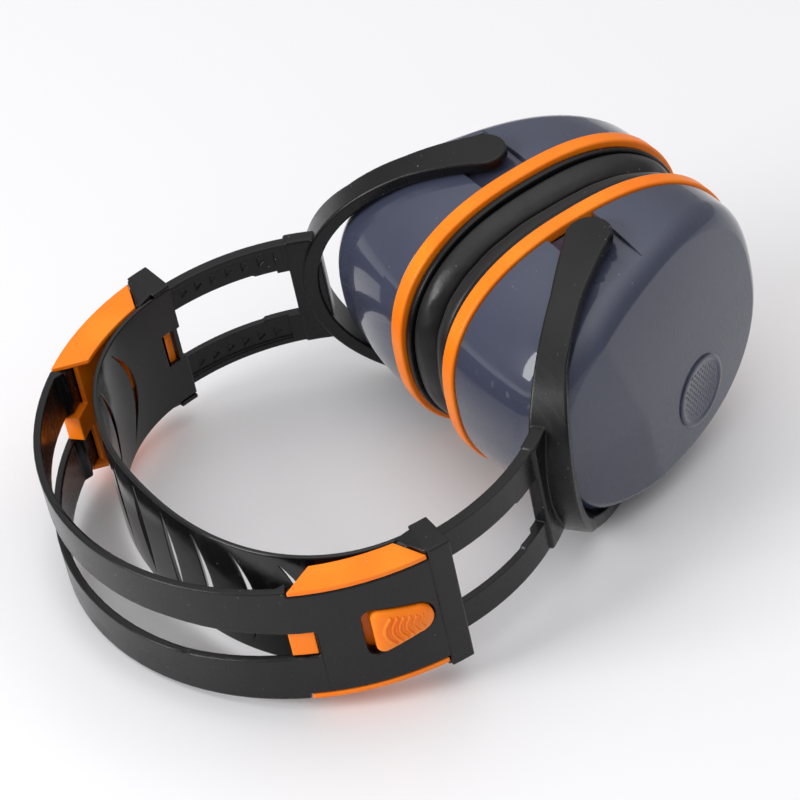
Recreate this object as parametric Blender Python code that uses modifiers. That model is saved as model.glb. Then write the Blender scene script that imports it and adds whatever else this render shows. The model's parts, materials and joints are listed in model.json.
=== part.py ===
"""An earmuff hearing protector with a double headband and two ear cups, lying on its side.

The headband is drawn flat, in its own plane: X runs across it, the crown is at -Y, the ear cups are at +Y,
and Z is the band's height. Its outer face is an arc about the origin, and the yokes slide on a second arc
about the same point. The whole is then tipped, so that the crown and a yoke arm both touch the ground.
Right-hand pieces are at +X. Angles are in degrees from +X, so the crown is at -90.
"""

import math

import bmesh
import bpy
from mathutils import Matrix, Vector

MM = 0.001

# Clearances
FIT = 0.3 * MM  # between pieces that touch or slide
BITE = 0.5 * MM  # how far joined shapes reach into each other

# Outer headband
BAND_RADIUS = 72.0 * MM  # outer face
BAND_THICKNESS = 2.2 * MM
BAND_HALF_HEIGHT = 19.4 * MM
SLOT_HALF_CROWN = 6.3 * MM
SLOT_HALF_END = 4.3 * MM
SLOT_END_ANGLE = -33.6
SLOT_TAPER_ANGLE = -64.0

# Adjuster sleeve at each end of the outer headband
SLEEVE_START_ANGLE = -37.6
SLEEVE_WALL = 3.7 * MM
COLLAR_START_ANGLE = -7.8
COLLAR_END_ANGLE = -2.7
COLLAR_PROUD = 0.5 * MM  # outer face beyond the band's
COLLAR_WALL = 1.2 * MM  # above and below the strap
COLLAR_OVERLAP_ANGLE = 2.0  # how far the sleeve reaches into its collar

# Rails of the yoke
RAIL_THICKNESS = 3.0 * MM
RAIL_HALF_HEIGHT = 17.6 * MM
RAIL_GAP_HALF = 8.0 * MM
RAIL_STEP = 0.6 * MM  # the gap is this much wider up to the shoulder
RAIL_INNER_ANGLE = -14.0
RAIL_TO_FORK_ANGLE = 3.5  # from the rails' outer ends to the middle of the fork's back
SHOULDER_FROM_END_ANGLE = 11.0  # from the rails' outer ends
TRACK_DEPTH = 1.05 * MM
TRACK_LIP = 1.6 * MM
TRACK_FROM_END_ANGLE = 5.0  # from the rails' outer ends
NOTCH_PITCH_ANGLE = 4.1
NOTCH_COUNT = 8
NOTCH_LENGTH_ANGLE = 1.7
NOTCH_HALF_HEIGHT = 1.6 * MM
NOTCH_DEPTH = 0.9 * MM

# Orange guide inside the sleeve
GUIDE_PANEL = 1.5 * MM
GUIDE_WEB = 1.5 * MM
GUIDE_BEVEL_ANGLE = 4.6  # how much shorter a panel is along its inner edge, at each end
GUIDE_PLUG_DEPTH = 0.8 * MM  # below the band's outer face
GUIDE_PLUG_ANGLE = 2.0  # how far the plug reaches past the panels, towards the crown

# Lock button
HOLE_START_ANGLE = -24.0
HOLE_END_ANGLE = -8.9
HOLE_HALF_START = 7.8 * MM
HOLE_HALF_END = 5.0 * MM
BUTTON_TRAVEL_ANGLE = 1.4
BUTTON_PROUD = 1.4 * MM
BUTTON_GAP = 0.48 * MM  # round the cap, in its hole
DOME_STEP = 0.9 * MM  # from the cap's outline to the dome's
RIDGE_COUNT = 5
RIDGE_PROUD = 0.8 * MM
RIDGE_FIRST_SHARE = 0.16  # of the cap's length, from its wide end
RIDGE_PITCH_SHARE = 0.15
RIDGE_HALF_WIDTH_ANGLE = 0.42
RIDGE_BOW_ANGLE = 1.6
PAWL_THICKNESS = 0.8 * MM
PAWL_HALF_SPAN = 15.0 * MM
PAWL_START_ANGLE = -8.2
PAWL_END_ANGLE = -5.0
STEM_HALF = 4.0 * MM
STEM_ANGLE = 3.0  # from the cap's end to the stem
STEM_END_ANGLE = -13.2
SHIELD_CORNER = 2.6 * MM

# Inner strap
STRAP_THICKNESS = 1.8 * MM
STRAP_CROWN = 49.5 * MM  # from the arc's centre to the middle of the strap
STRAP_POWER = 2.25
VENT_PITCH_ANGLE = 14.0
VENT_PAIRS = 5
VENT_HALF_HEIGHT = 16.0 * MM
VENT_HALF_WIDTH_ANGLE = 0.95
VENT_BOW_ANGLE = 6.5
STRAP_WINDOW_HALF = 5.6 * MM

# Fork of the yoke
FORK_ANGLE = -53.5  # its direction, from the pivot to its back
FORK_GAP = 4.8 * MM  # between its back and the cup
FORK_PAST_RAILS = 3.2 * MM  # its outer face beyond the rails' arc
FORK_TIP_THICKNESS = 3.5 * MM
FORK_BACK_THICKNESS = 4.5 * MM
FORK_TIP_RADIUS = 6.2 * MM
FORK_ARM_HALF = 4.3 * MM
FORK_POWER = 2.06
FORK_TAPER = 22.0 * MM  # from the pivot to where the arm is at its narrow width
FORK_BACK_FLARE = 3.6 * MM  # how much wider the back is than the arms, away from the crown
FORK_SOFTEN = 0.5 * MM
CROSSBAR_PAST_FORK_ANGLE = 3.0  # from the middle of the fork's back
CROSSBAR_HALF_HEIGHT = 18.2 * MM
CROSSBAR_THICKNESS = 4.2 * MM
PIN_RADIUS = 2.6 * MM
PIN_SIDES = 20
PIN_GAP = 2.1 * MM  # between the fork's tip and the floor of the cup's pocket
PIN_ENGAGE = 3.4 * MM  # below the floor of the cup's pocket

# Ear cup
CUP_PAST_PIVOT = 2.7 * MM  # the cup's middle beyond its pivot, away from the crown
PIVOT_DEPTH = 9.2 * MM  # from the rim
RIM_HALF_LENGTH = 46.3 * MM
RIM_HALF_WIDTH = 37.5 * MM
CUP_POWER = 2.4
CUP_WALL = 2.8 * MM
CUP_DEPTH = 28.2 * MM  # from the rim to the end face's plane, on the cup's axis
CUP_SLANT = 0.376  # how much deeper the cup gets towards the crown
WALL_BOW = 120.0 * MM  # radius of the wall's bow, from the rim to the edge
EDGE_RADIUS = 4.5 * MM  # round the end face, away from the crown
EDGE_RADIUS_CROWN = 15.0 * MM  # towards the crown
FACE_DOME = 1.7 * MM
FACE_SHARE = 0.78  # the end face's width, as a share of the rim's
WALL_ROWS = (0.0, 0.4, 0.75, 1.0)  # shares of the wall's height
EDGE_TURNS = (30, 60, 90)  # degrees round the edge
FACE_ROWS = (0.6, 0.25)  # shares of the end face's width
BOSS_HALF = 8.6 * MM
BOSS_DEPTH = 6.0 * MM
POCKET_HALF = 7.4 * MM
POCKET_DEPTH = 2.3 * MM  # below the rim's outline
POCKET_REACH = 13.0 * MM
BADGE_RADIUS = 10.4 * MM
BADGE_SIDES = 40
BADGE_PROUD = 0.5 * MM
BADGE_Y = 14.0 * MM
BADGE_Z = -17.5 * MM

# Rim ring, cushion plate, cushion and liner
RING_WIDTH = 4.7 * MM
RING_PROUD = 0.8 * MM
RING_BREADTH = 3.4 * MM
RING_SOFTEN = 0.6 * MM
PLATE_THICKNESS = 2.0 * MM
PLATE_INSET = 0.5 * MM
CUSHION_HEIGHT = 6.7 * MM
CUSHION_BREADTH = 18.0 * MM
CUSHION_SKIN = 1.2 * MM
CUSHION_SHOULDER = 4.6 * MM
CUSHION_INSET = 1.4 * MM  # inside the rim's outline
CUSHION_GAP = 0.3 * MM  # from the plane where the two cushions meet
SPIGOT_WALL = 1.6 * MM
LINER_SHARE = 0.76  # of the hollow's width

# Facets
ARC_STEP = 3.5  # degrees
CUP_SIDES = 40
TIP_FACETS = 8  # round a fork tip's half circle

# Colours
COLOURS = {
    "black_plastic": ((0.022, 0.022, 0.024), 0.42),
    "black_strap": ((0.016, 0.016, 0.018), 0.22),
    "orange_plastic": ((0.95, 0.21, 0.01), 0.4),
    "slate_gloss": ((0.088, 0.1, 0.135), 0.12),
    "black_cushion": ((0.012, 0.012, 0.013), 0.5),
    "grey_foam": ((0.05, 0.05, 0.055), 0.9),
}

# What follows from the sizes above
RAIL_OUTER = BAND_RADIUS - SLEEVE_WALL - 2 * FIT - GUIDE_WEB
RAIL_INNER = RAIL_OUTER - RAIL_THICKNESS
STRAP_OUTER = RAIL_INNER - FIT
STRAP_HALF_SPAN = STRAP_OUTER - STRAP_THICKNESS / 2
TRACK_FLOOR = RAIL_INNER + TRACK_DEPTH
GUIDE_HALF_HEIGHT = RAIL_HALF_HEIGHT + 1.3 * FIT
PANEL_HALF_HEIGHT = GUIDE_HALF_HEIGHT + GUIDE_PANEL
NOTCH_HEIGHT = (RAIL_GAP_HALF + RAIL_HALF_HEIGHT) / 2
STRAP_HALF_HEIGHT = BAND_HALF_HEIGHT
COLLAR_HALF_HEIGHT = STRAP_HALF_HEIGHT + FIT + COLLAR_WALL
RING_INNER_X = CUSHION_GAP + CUSHION_HEIGHT + PLATE_THICKNESS + 2 * FIT
RIM_X = RING_INNER_X + RING_WIDTH + FIT
POCKET_FLOOR = RIM_HALF_WIDTH - POCKET_DEPTH
FORK_HALF_HEIGHT = POCKET_FLOOR + PIN_GAP + FORK_TIP_THICKNESS
PIVOT_X = RIM_X + PIVOT_DEPTH
CROWN_ANGLE = -90.0
FIT_ANGLE = math.degrees(FIT / RAIL_OUTER)


# ---------------------------------------------------------------- helpers


def clear_scene():
    for old in list(bpy.data.objects):
        bpy.data.objects.remove(old, do_unlink=True)


def new_collection(name, hidden=False):
    made = bpy.data.collections.new(name)
    bpy.context.scene.collection.children.link(made)
    made.hide_render = hidden
    return made


def material(name):
    """A Principled material of one of the COLOURS."""
    made = bpy.data.materials.get(name)
    if made:
        return made
    colour, roughness = COLOURS[name]
    made = bpy.data.materials.new(name)
    made.use_nodes = True
    surface = made.node_tree.nodes["Principled BSDF"]
    surface.inputs["Base Color"].default_value = (*colour, 1)
    surface.inputs["Roughness"].default_value = roughness
    surface.inputs["Metallic"].default_value = 0
    made.diffuse_color = (*colour, 1)
    return made


def mesh_object(name, bm):
    """A closed bmesh as an object, its faces turned outwards."""
    bmesh.ops.recalc_face_normals(bm, faces=bm.faces)
    mesh = bpy.data.meshes.new(name)
    bm.to_mesh(mesh)
    bm.free()
    made = bpy.data.objects.new(name, mesh)
    CUTTERS.objects.link(made)
    return made


def prism(name, outline, low, high):
    """A flat outline, drawn as a 2D curve, that stands between two heights."""
    curve = bpy.data.curves.new(name, "CURVE")
    curve.dimensions = "2D"
    curve.fill_mode = "BOTH"
    curve.extrude = (high - low) / 2
    spline = curve.splines.new("POLY")
    spline.points.add(len(outline) - 1)
    for point, (x, y) in zip(spline.points, outline):
        point.co = (x, y, 0, 1)
    spline.use_cyclic_u = True
    drawn = bpy.data.objects.new(name + "_outline", curve)
    CUTTERS.objects.link(drawn)
    graph = bpy.context.evaluated_depsgraph_get()
    bm = bmesh.new()
    bm.from_mesh(bpy.data.meshes.new_from_object(drawn.evaluated_get(graph)))
    bmesh.ops.remove_doubles(bm, verts=bm.verts, dist=1e-6)
    bmesh.ops.translate(bm, verts=bm.verts, vec=(0, 0, (high + low) / 2))
    bpy.data.objects.remove(drawn, do_unlink=True)
    return mesh_object(name, bm)


def polar(radius, angle, side=1):
    turn = math.radians(angle)
    return (side * radius * math.cos(turn), radius * math.sin(turn))


def spread(start, end, step):
    """Values from start to end, no further apart than step."""
    count = max(1, math.ceil(abs(end - start) / step - 1e-9))
    return [start + (end - start) * i / count for i in range(count + 1)]


def mirrored(angle):
    """The same angle on the band's other side."""
    return 2 * CROWN_ANGLE - angle


def sector(name, inner, outer, start, end, low, high, side=1):
    """A block between two radii, two angles and two heights."""
    angles = spread(start, end, ARC_STEP)
    outline = [polar(outer, a, side) for a in angles]
    outline += [polar(inner, a, side) for a in reversed(angles)]
    return prism(name, outline, low, high)


def ribbon(name, rungs, inner, outer, side=1):
    """A shape drawn on the band's cylinder, between two radii. Each rung is two (angle, height) points."""
    bm = bmesh.new()
    rings = []
    for first, second in rungs:
        corners = ((inner, first), (outer, first), (outer, second), (inner, second))
        rings.append([bm.verts.new((*polar(r, a, side), z)) for r, (a, z) in corners])
    for low, high in zip(rings, rings[1:]):
        for i in range(4):
            bm.faces.new((low[i], low[(i + 1) % 4], high[(i + 1) % 4], high[i]))
    bm.faces.new(rings[0])
    bm.faces.new(reversed(rings[-1]))
    return mesh_object(name, bm)


def oval(half_length, half_width, power, sides=CUP_SIDES):
    """Points of a superellipse, as (along Y, along Z)."""
    points = []
    for i in range(sides):
        turn = 2 * math.pi * (i + 0.5) / sides
        c, s = math.cos(turn), math.sin(turn)
        y = half_length * math.copysign(abs(c) ** (2 / power), c)
        z = half_width * math.copysign(abs(s) ** (2 / power), s)
        points.append((y, z))
    return points


def oval_ring(name, profile, half_length, half_width, side):
    """A closed profile of (inset, x) points, carried round the cup's oval."""
    bm = bmesh.new()
    loops = []
    for inset, x in profile:
        around = oval(half_length - inset, half_width - inset, CUP_POWER)
        loops.append([bm.verts.new((side * x, CUP_Y + y, z)) for y, z in around])
    for here, after in zip(loops, loops[1:] + loops[:1]):
        for i in range(CUP_SIDES):
            j = (i + 1) % CUP_SIDES
            bm.faces.new((here[i], here[j], after[j], after[i]))
    return mesh_object(name, bm)


def boolean(target, others, operation):
    for other in others:
        cut = target.modifiers.new(operation.lower(), "BOOLEAN")
        cut.operation = operation
        cut.solver = "EXACT"
        cut.object = other
        other.hide_render = True
        other.display_type = "WIRE"
    return target


def joined(name, pieces):
    """Separate closed shapes kept in one cutter, so that one Boolean cuts them all."""
    bm = bmesh.new()
    for piece in pieces:
        bm.from_mesh(piece.data)
        bpy.data.objects.remove(piece, do_unlink=True)
    return mesh_object(name, bm)


def finish(made, name, look, parent):
    """Names a piece, gives it its material and shading, and hangs it on its body's empty."""
    made.name = name
    made.data.name = name
    made.data.materials.clear()
    made.data.materials.append(material(look))
    made.data.shade_smooth()
    made.data.set_sharp_from_angle(angle=math.radians(30))
    CUTTERS.objects.unlink(made)
    PARTS.objects.link(made)
    hang(made, parent)


def hang(made, parent):
    """Parents a piece, and every cutter that shapes it, so that they move together."""
    made.parent = parent
    made.matrix_parent_inverse = Matrix.Translation(parent["axis_at"]).inverted()
    for modifier in made.modifiers:
        if modifier.type == "BOOLEAN":
            hang(modifier.object, parent)


def empty(name, parent=None, at=(0, 0, 0)):
    """An empty on a body's joint axis, placed in the headband's frame."""
    made = bpy.data.objects.new(name, None)
    made.empty_display_size = 10 * MM
    made.parent = parent
    made.location = Vector(at) - Vector(parent["axis_at"] if parent else (0, 0, 0))
    made["axis_at"] = at
    PARTS.objects.link(made)
    return made


# ---------------------------------------------------------------- headband


def outer_band():
    """The arched band with its long slot, the two sleeve walls and the two collars."""
    band_end = COLLAR_START_ANGLE + COLLAR_OVERLAP_ANGLE
    wall_start = SLEEVE_START_ANGLE - 0.5
    arch_start = wall_start - 1.5
    outer = [polar(BAND_RADIUS, a) for a in spread(band_end, mirrored(band_end), ARC_STEP)]
    wall = [polar(BAND_RADIUS - SLEEVE_WALL, a) for a in spread(band_end, wall_start, ARC_STEP)]
    arch_angles = spread(arch_start, mirrored(arch_start), ARC_STEP)
    arch = [polar(BAND_RADIUS - BAND_THICKNESS, a) for a in arch_angles]
    inner = wall + arch + [(-x, y) for x, y in reversed(wall)]
    band = prism("band", outer + inner[::-1], -BAND_HALF_HEIGHT, BAND_HALF_HEIGHT)
    cuts, collars = [slot_cutter()], []
    for side in (1, -1):
        cuts += [panel_seat(side, up) for up in (1, -1)]
        cuts.append(lock_hole(side))
        collars.append(collar(side))
    boolean(band, [joined("seats_and_holes", cuts)], "DIFFERENCE")
    return boolean(band, collars, "UNION")


def panel_seat(side, up):
    """The space above or below a sleeve's wall, where a panel of the guide lies flush."""
    low, high = up * (GUIDE_HALF_HEIGHT - FIT), up * (COLLAR_HALF_HEIGHT + FIT)
    start = SLEEVE_START_ANGLE
    end = COLLAR_START_ANGLE + 0.75 * COLLAR_OVERLAP_ANGLE
    top = BAND_RADIUS + BAND_THICKNESS
    low, high = min(low, high), max(low, high)
    return sector("panel_seat", RAIL_INNER, top, start, end, low, high, side)


def collar(side):
    """The square collar at a sleeve's end: its mouth takes the rails and the strap, and its two
    shoulders lie against the slanted ends of the guide's panels."""
    inner = STRAP_OUTER - STRAP_THICKNESS
    outer = BAND_RADIUS + COLLAR_PROUD
    start, end, half = COLLAR_START_ANGLE, COLLAR_END_ANGLE, COLLAR_HALF_HEIGHT
    block = sector("collar", inner, outer, start, end, -half, half, side)
    mouth_half = STRAP_HALF_HEIGHT + FIT
    mouth_inner = inner - 2 * STRAP_THICKNESS
    mouth_outer = RAIL_OUTER + FIT
    mouth_span = (start - 1, end + 1, -mouth_half, mouth_half)
    mouth = sector("collar_mouth", mouth_inner, mouth_outer, *mouth_span, side)
    boolean(block, [mouth], "DIFFERENCE")
    return boolean(block, [collar_shoulder(side, up) for up in (1, -1)], "UNION")


def collar_shoulder(side, up):
    """A wedge from the collar to a panel's slanted end, over the rails and the strap's edge."""
    root = COLLAR_START_ANGLE + COLLAR_OVERLAP_ANGLE / 2
    inner = STRAP_OUTER + FIT
    outline = [polar(BAND_RADIUS, a, side) for a in (COLLAR_START_ANGLE, root)]
    outline += [polar(inner, a, side) for a in (root, COLLAR_START_ANGLE - GUIDE_BEVEL_ANGLE)]
    low, high = GUIDE_HALF_HEIGHT, PANEL_HALF_HEIGHT
    return prism("collar_shoulder", outline, *sorted((up * low, up * high)))


def slot_cutter():
    """The slot between the band's two ribbons: full height over the crown, lower at the sleeves."""
    rungs = []
    for angle in spread(SLOT_END_ANGLE, mirrored(SLOT_END_ANGLE), ARC_STEP):
        past_taper = abs(angle - CROWN_ANGLE) - (SLOT_TAPER_ANGLE - CROWN_ANGLE)
        to_end = past_taper / (SLEEVE_START_ANGLE - SLOT_TAPER_ANGLE)
        share = min(1, max(0, to_end))
        half = SLOT_HALF_CROWN + (SLOT_HALF_END - SLOT_HALF_CROWN) * share
        rungs.append(((angle, -half), (angle, half)))
    return ribbon("slot", rungs, BAND_RADIUS - 5 * BAND_THICKNESS, BAND_RADIUS + BAND_THICKNESS)


def shield(start, end, half_start, half_end, shrink=0.0):
    """Rungs of a rounded shield, wide at its start and with a round nose at its end."""
    degree = BAND_RADIUS * math.radians(1)
    start, end = start + shrink / degree, end - shrink / degree
    half_start, half_end = half_start - shrink, half_end - shrink
    corner, nose = SHIELD_CORNER / degree, half_end / degree
    outline = []
    for turn in (0, 30, 60, 90):
        swing = math.radians(turn)
        angle = start + corner * (1 - math.cos(swing))
        outline.append((angle, half_start - SHIELD_CORNER * (1 - math.sin(swing))))
    for turn in (90, 66, 44, 24, 8):
        swing = math.radians(turn)
        outline.append((end - nose * (1 - math.cos(swing)), half_end * math.sin(swing)))
    return [((angle, -half), (angle, half)) for angle, half in outline]


def lock_hole(side):
    rungs = shield(HOLE_START_ANGLE, HOLE_END_ANGLE, HOLE_HALF_START, HOLE_HALF_END)
    return ribbon("lock_hole", rungs, RAIL_OUTER, BAND_RADIUS + BAND_THICKNESS, side)


def strap_line(angle):
    """The middle of the inner strap: a flattened oval that follows the sleeves' arc at its ends."""
    x, y = polar(1, angle)
    share = (abs(x) / STRAP_HALF_SPAN) ** STRAP_POWER + (abs(y) / STRAP_CROWN) ** STRAP_POWER
    radius = min(share ** (-1 / STRAP_POWER), STRAP_OUTER - STRAP_THICKNESS / 2)
    return Vector((radius * x, radius * y))


def inner_strap():
    """The thin strap that bears on the head, with bowed vents and a window at each end."""
    outer, inner = [], []
    for angle in spread(COLLAR_END_ANGLE, mirrored(COLLAR_END_ANGLE), ARC_STEP):
        along = strap_line(angle - 0.5) - strap_line(angle + 0.5)
        outward = Vector((-along.y, along.x)).normalized() * STRAP_THICKNESS / 2
        if outward.dot(strap_line(angle)) < 0:
            outward.negate()
        outer.append(tuple(strap_line(angle) + outward))
        inner.append(tuple(strap_line(angle) - outward))
    strap = prism("strap", outer + inner[::-1], -STRAP_HALF_HEIGHT, STRAP_HALF_HEIGHT)
    cuts = []
    for side in (1, -1):
        cuts += [vent(index, side) for index in range(VENT_PAIRS)]
        cuts += [strap_window(side), strap_end_notch(side)]
    return boolean(strap, [joined("strap_cuts", cuts)], "DIFFERENCE")


def vent(index, side):
    """One bowed vent, pointed at both ends, the index counted from the crown."""
    from_crown = VENT_PITCH_ANGLE * (index + 0.5)
    bow = VENT_BOW_ANGLE * math.sin(math.radians(from_crown))
    rungs = []
    for share in (-1, -0.85, -0.6, -0.3, 0, 0.3, 0.6, 0.85, 1):
        middle = CROWN_ANGLE + from_crown + bow * (1 - share**2)
        half = VENT_HALF_WIDTH_ANGLE * max(0.12, 1 - share**2)
        height = share * VENT_HALF_HEIGHT
        rungs.append(((middle - half, height), (middle + half, height)))
    return ribbon("vent", rungs, STRAP_CROWN - 3 * STRAP_THICKNESS, STRAP_OUTER + STRAP_THICKNESS, side)


def strap_window(side):
    """The window in the strap's end through which the lock's pawl shows."""
    half = STRAP_WINDOW_HALF
    rungs = [((a, -half), (a, half)) for a in (PAWL_START_ANGLE - 0.2, PAWL_END_ANGLE + 0.2)]
    return ribbon("strap_window", rungs, STRAP_CROWN, STRAP_OUTER + STRAP_THICKNESS, side)


def strap_end_notch(side):
    """The shallow step in the middle of the strap's end."""
    half = STRAP_WINDOW_HALF
    rungs = [
        ((COLLAR_END_ANGLE - 0.9, BITE - half), (COLLAR_END_ANGLE - 0.9, half - BITE)),
        ((COLLAR_END_ANGLE + 1, -half), (COLLAR_END_ANGLE + 1, half)),
    ]
    return ribbon("strap_end_notch", rungs, STRAP_CROWN, STRAP_OUTER + STRAP_THICKNESS, side)


# ---------------------------------------------------------------- adjuster


def slide_guide(side):
    """The orange guide in a sleeve: two panels that show above and below, joined by a web."""
    start, end = SLEEVE_START_ANGLE + FIT_ANGLE, COLLAR_START_ANGLE - FIT_ANGLE
    outer = [polar(BAND_RADIUS, a, side) for a in spread(start, end, ARC_STEP)]
    slanted = spread(start + GUIDE_BEVEL_ANGLE, end - GUIDE_BEVEL_ANGLE, ARC_STEP)
    inner = [polar(STRAP_OUTER + FIT, a, side) for a in slanted]
    outline = outer + inner[::-1]
    top = prism("panel_top", outline, GUIDE_HALF_HEIGHT, PANEL_HALF_HEIGHT)
    bottom = prism("panel_bottom", outline, -PANEL_HALF_HEIGHT, -GUIDE_HALF_HEIGHT)
    web_outer = BAND_RADIUS - SLEEVE_WALL - FIT
    web_inner = web_outer - GUIDE_WEB
    web_half = GUIDE_HALF_HEIGHT + BITE
    web_start, web_end = start + 0.75 * GUIDE_BEVEL_ANGLE, end - 0.75 * GUIDE_BEVEL_ANGLE
    web = sector("web", web_inner, web_outer, web_start, web_end, -web_half, web_half, side)
    half = STEM_HALF + 2 * FIT
    stem_start = lock_stem_start() - BUTTON_TRAVEL_ANGLE - FIT_ANGLE
    stem_end = STEM_END_ANGLE + FIT_ANGLE
    window = sector("web_window", RAIL_OUTER, BAND_RADIUS, stem_start, stem_end, -half, half, side)
    boolean(web, [window], "DIFFERENCE")
    plug_start, plug_end = start - GUIDE_PLUG_ANGLE, SLOT_END_ANGLE - FIT_ANGLE
    plug_half = SLOT_HALF_END - FIT
    plug_top = BAND_RADIUS - GUIDE_PLUG_DEPTH
    plug = sector("plug", web_inner, plug_top, plug_start, plug_end, -plug_half, plug_half, side)
    return boolean(web, [top, bottom, plug], "UNION")


def lock_stem_start():
    """Where the button's stem starts, towards the crown."""
    return HOLE_START_ANGLE + BUTTON_TRAVEL_ANGLE + STEM_ANGLE


def lock_button(side):
    """The ridged button in the sleeve's outer wall, its stem between the rails, and the pawl behind them."""
    cap_start = HOLE_START_ANGLE + BUTTON_TRAVEL_ANGLE
    narrowing = (HOLE_HALF_START - HOLE_HALF_END) / (HOLE_END_ANGLE - HOLE_START_ANGLE)
    # The hole narrows along the cap's travel, and the cap with it, half as much again for clearance.
    half_start = HOLE_HALF_START - 1.5 * narrowing * BUTTON_TRAVEL_ANGLE
    shape = (cap_start, HOLE_END_ANGLE, half_start, HOLE_HALF_END)
    cap_base = BAND_RADIUS - SLEEVE_WALL + FIT / 3
    cap_top = BAND_RADIUS + BUTTON_PROUD
    cap = ribbon("cap", shield(*shape, shrink=BUTTON_GAP), cap_base, BAND_RADIUS + FIT, side)
    dome_rungs = shield(*shape, shrink=BUTTON_GAP + DOME_STEP)
    dome = ribbon("dome", dome_rungs, BAND_RADIUS - BITE, cap_top, side)
    ridges = [lock_ridge(index, cap_start, cap_top, side) for index in range(RIDGE_COUNT)]
    stem_start = lock_stem_start()
    stem_span = (stem_start, STEM_END_ANGLE, -STEM_HALF, STEM_HALF)
    stem = sector("stem", RAIL_INNER, cap_base + BITE, *stem_span, side)
    inner = STRAP_OUTER + 0.8 * FIT
    outer = inner + PAWL_THICKNESS
    half = STEM_HALF - BITE
    spine = sector("spine", inner, outer, stem_start + 1, PAWL_END_ANGLE - 1, -half, half, side)
    span = PAWL_HALF_SPAN
    pawl = sector("pawl", inner, outer, PAWL_START_ANGLE, PAWL_END_ANGLE, -span, span, side)
    return boolean(cap, [dome, stem, spine, pawl] + ridges, "UNION")


def lock_ridge(index, cap_start, cap_top, side):
    """A thumb ridge, bowed towards the crown and shorter towards the nose."""
    share_along = RIDGE_FIRST_SHARE + RIDGE_PITCH_SHARE * index
    middle = cap_start + (HOLE_END_ANGLE - cap_start) * share_along
    half_height = (HOLE_HALF_START - SHIELD_CORNER) * (1 - 0.75 * share_along)
    rungs = []
    for share in (-1, -0.6, -0.2, 0.2, 0.6, 1):
        angle = middle + RIDGE_BOW_ANGLE * share**2
        half = RIDGE_HALF_WIDTH_ANGLE * (1 - 0.35 * share**2)
        rungs.append(((angle - half, share * half_height), (angle + half, share * half_height)))
    return ribbon("ridge", rungs, cap_top - BITE, cap_top + RIDGE_PROUD, side)


# ---------------------------------------------------------------- yoke


def yoke(side):
    """Two notched rails, the crossbar and the fork that holds an ear cup, moulded in one."""
    inner = RAIL_INNER - FIT
    outer = inner + CROSSBAR_THICKNESS
    start, end = RAIL_OUTER_ANGLE - 2, FORK_BACK_ANGLE + CROSSBAR_PAST_FORK_ANGLE
    half = CROSSBAR_HALF_HEIGHT
    crossbar = sector("crossbar", inner, outer, start, end, -half, half, side)
    rails = [rail(side, up) for up in (1, -1)]
    pin_top = POCKET_FLOOR + PIN_GAP + BITE
    pin_end = POCKET_FLOOR - PIN_ENGAGE
    pins = [rod("pin", side, PIN_RADIUS, up * pin_end, up * pin_top) for up in (1, -1)]
    return boolean(fork_arc(side), [crossbar] + rails + pins, "UNION")


def rod(name, side, radius, start, end):
    """A cylinder on the cup's pivot axis, between two heights."""
    bm = bmesh.new()
    place = Matrix.Translation((side * PIVOT_X, PIVOT_Y, (start + end) / 2))
    bmesh.ops.create_cone(
        bm,
        cap_ends=True,
        segments=PIN_SIDES,
        radius1=radius,
        radius2=radius,
        depth=abs(end - start),
        matrix=place,
    )
    return mesh_object(name, bm)


def rail(side, up):
    """One rail: a shoulder where the gap narrows, a track along its inner face and notches in the track."""
    gap = [(a, RAIL_GAP_HALF + RAIL_STEP) for a in spread(RAIL_INNER_ANGLE, SHOULDER_ANGLE, ARC_STEP)]
    gap += [(a, RAIL_GAP_HALF) for a in spread(SHOULDER_ANGLE + 0.5, RAIL_OUTER_ANGLE, ARC_STEP)]
    shape = [((a, up * z), (a, up * RAIL_HALF_HEIGHT)) for a, z in gap]
    made = ribbon("rail", shape, RAIL_INNER, RAIL_OUTER, side)
    low, high = RAIL_GAP_HALF - BITE, RAIL_HALF_HEIGHT - TRACK_LIP
    reach = spread(RAIL_INNER_ANGLE - 1, TRACK_END_ANGLE, ARC_STEP)
    rungs = [((a, up * low), (a, up * high)) for a in reach]
    track = ribbon("track", rungs, RAIL_INNER - BITE, TRACK_FLOOR, side)
    notches = joined("notches", [notch(index, side, up) for index in range(NOTCH_COUNT)])
    return boolean(made, [track, notches], "DIFFERENCE")


def notch(index, side, up):
    """A pocket in the track, square at its crown end and pointed at the other."""
    start = TRACK_END_ANGLE - NOTCH_PITCH_ANGLE * (index + 1)
    rungs = []
    for angle, half in ((start, NOTCH_HALF_HEIGHT), (start + NOTCH_LENGTH_ANGLE, 0.1 * NOTCH_HALF_HEIGHT)):
        rungs.append(((angle, up * (NOTCH_HEIGHT - half)), (angle, up * (NOTCH_HEIGHT + half))))
    return ribbon("notch", rungs, TRACK_FLOOR - BITE, TRACK_FLOOR + NOTCH_DEPTH, side)


def fork_side_view(length, half_height):
    """Half of a superellipse, run on straight past the pivot, as (along the fork, height)."""
    quarter = []
    for turn in spread(0, 90, 7.5):
        swing = math.radians(turn)
        along = length * abs(math.cos(swing)) ** (2 / FORK_POWER)
        quarter.append((along, half_height * math.sin(swing) ** (2 / FORK_POWER)))
    quarter[-1] = (-FORK_TIP_RADIUS - BITE, half_height)
    return [(along, -height) for along, height in reversed(quarter[1:])] + quarter


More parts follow.
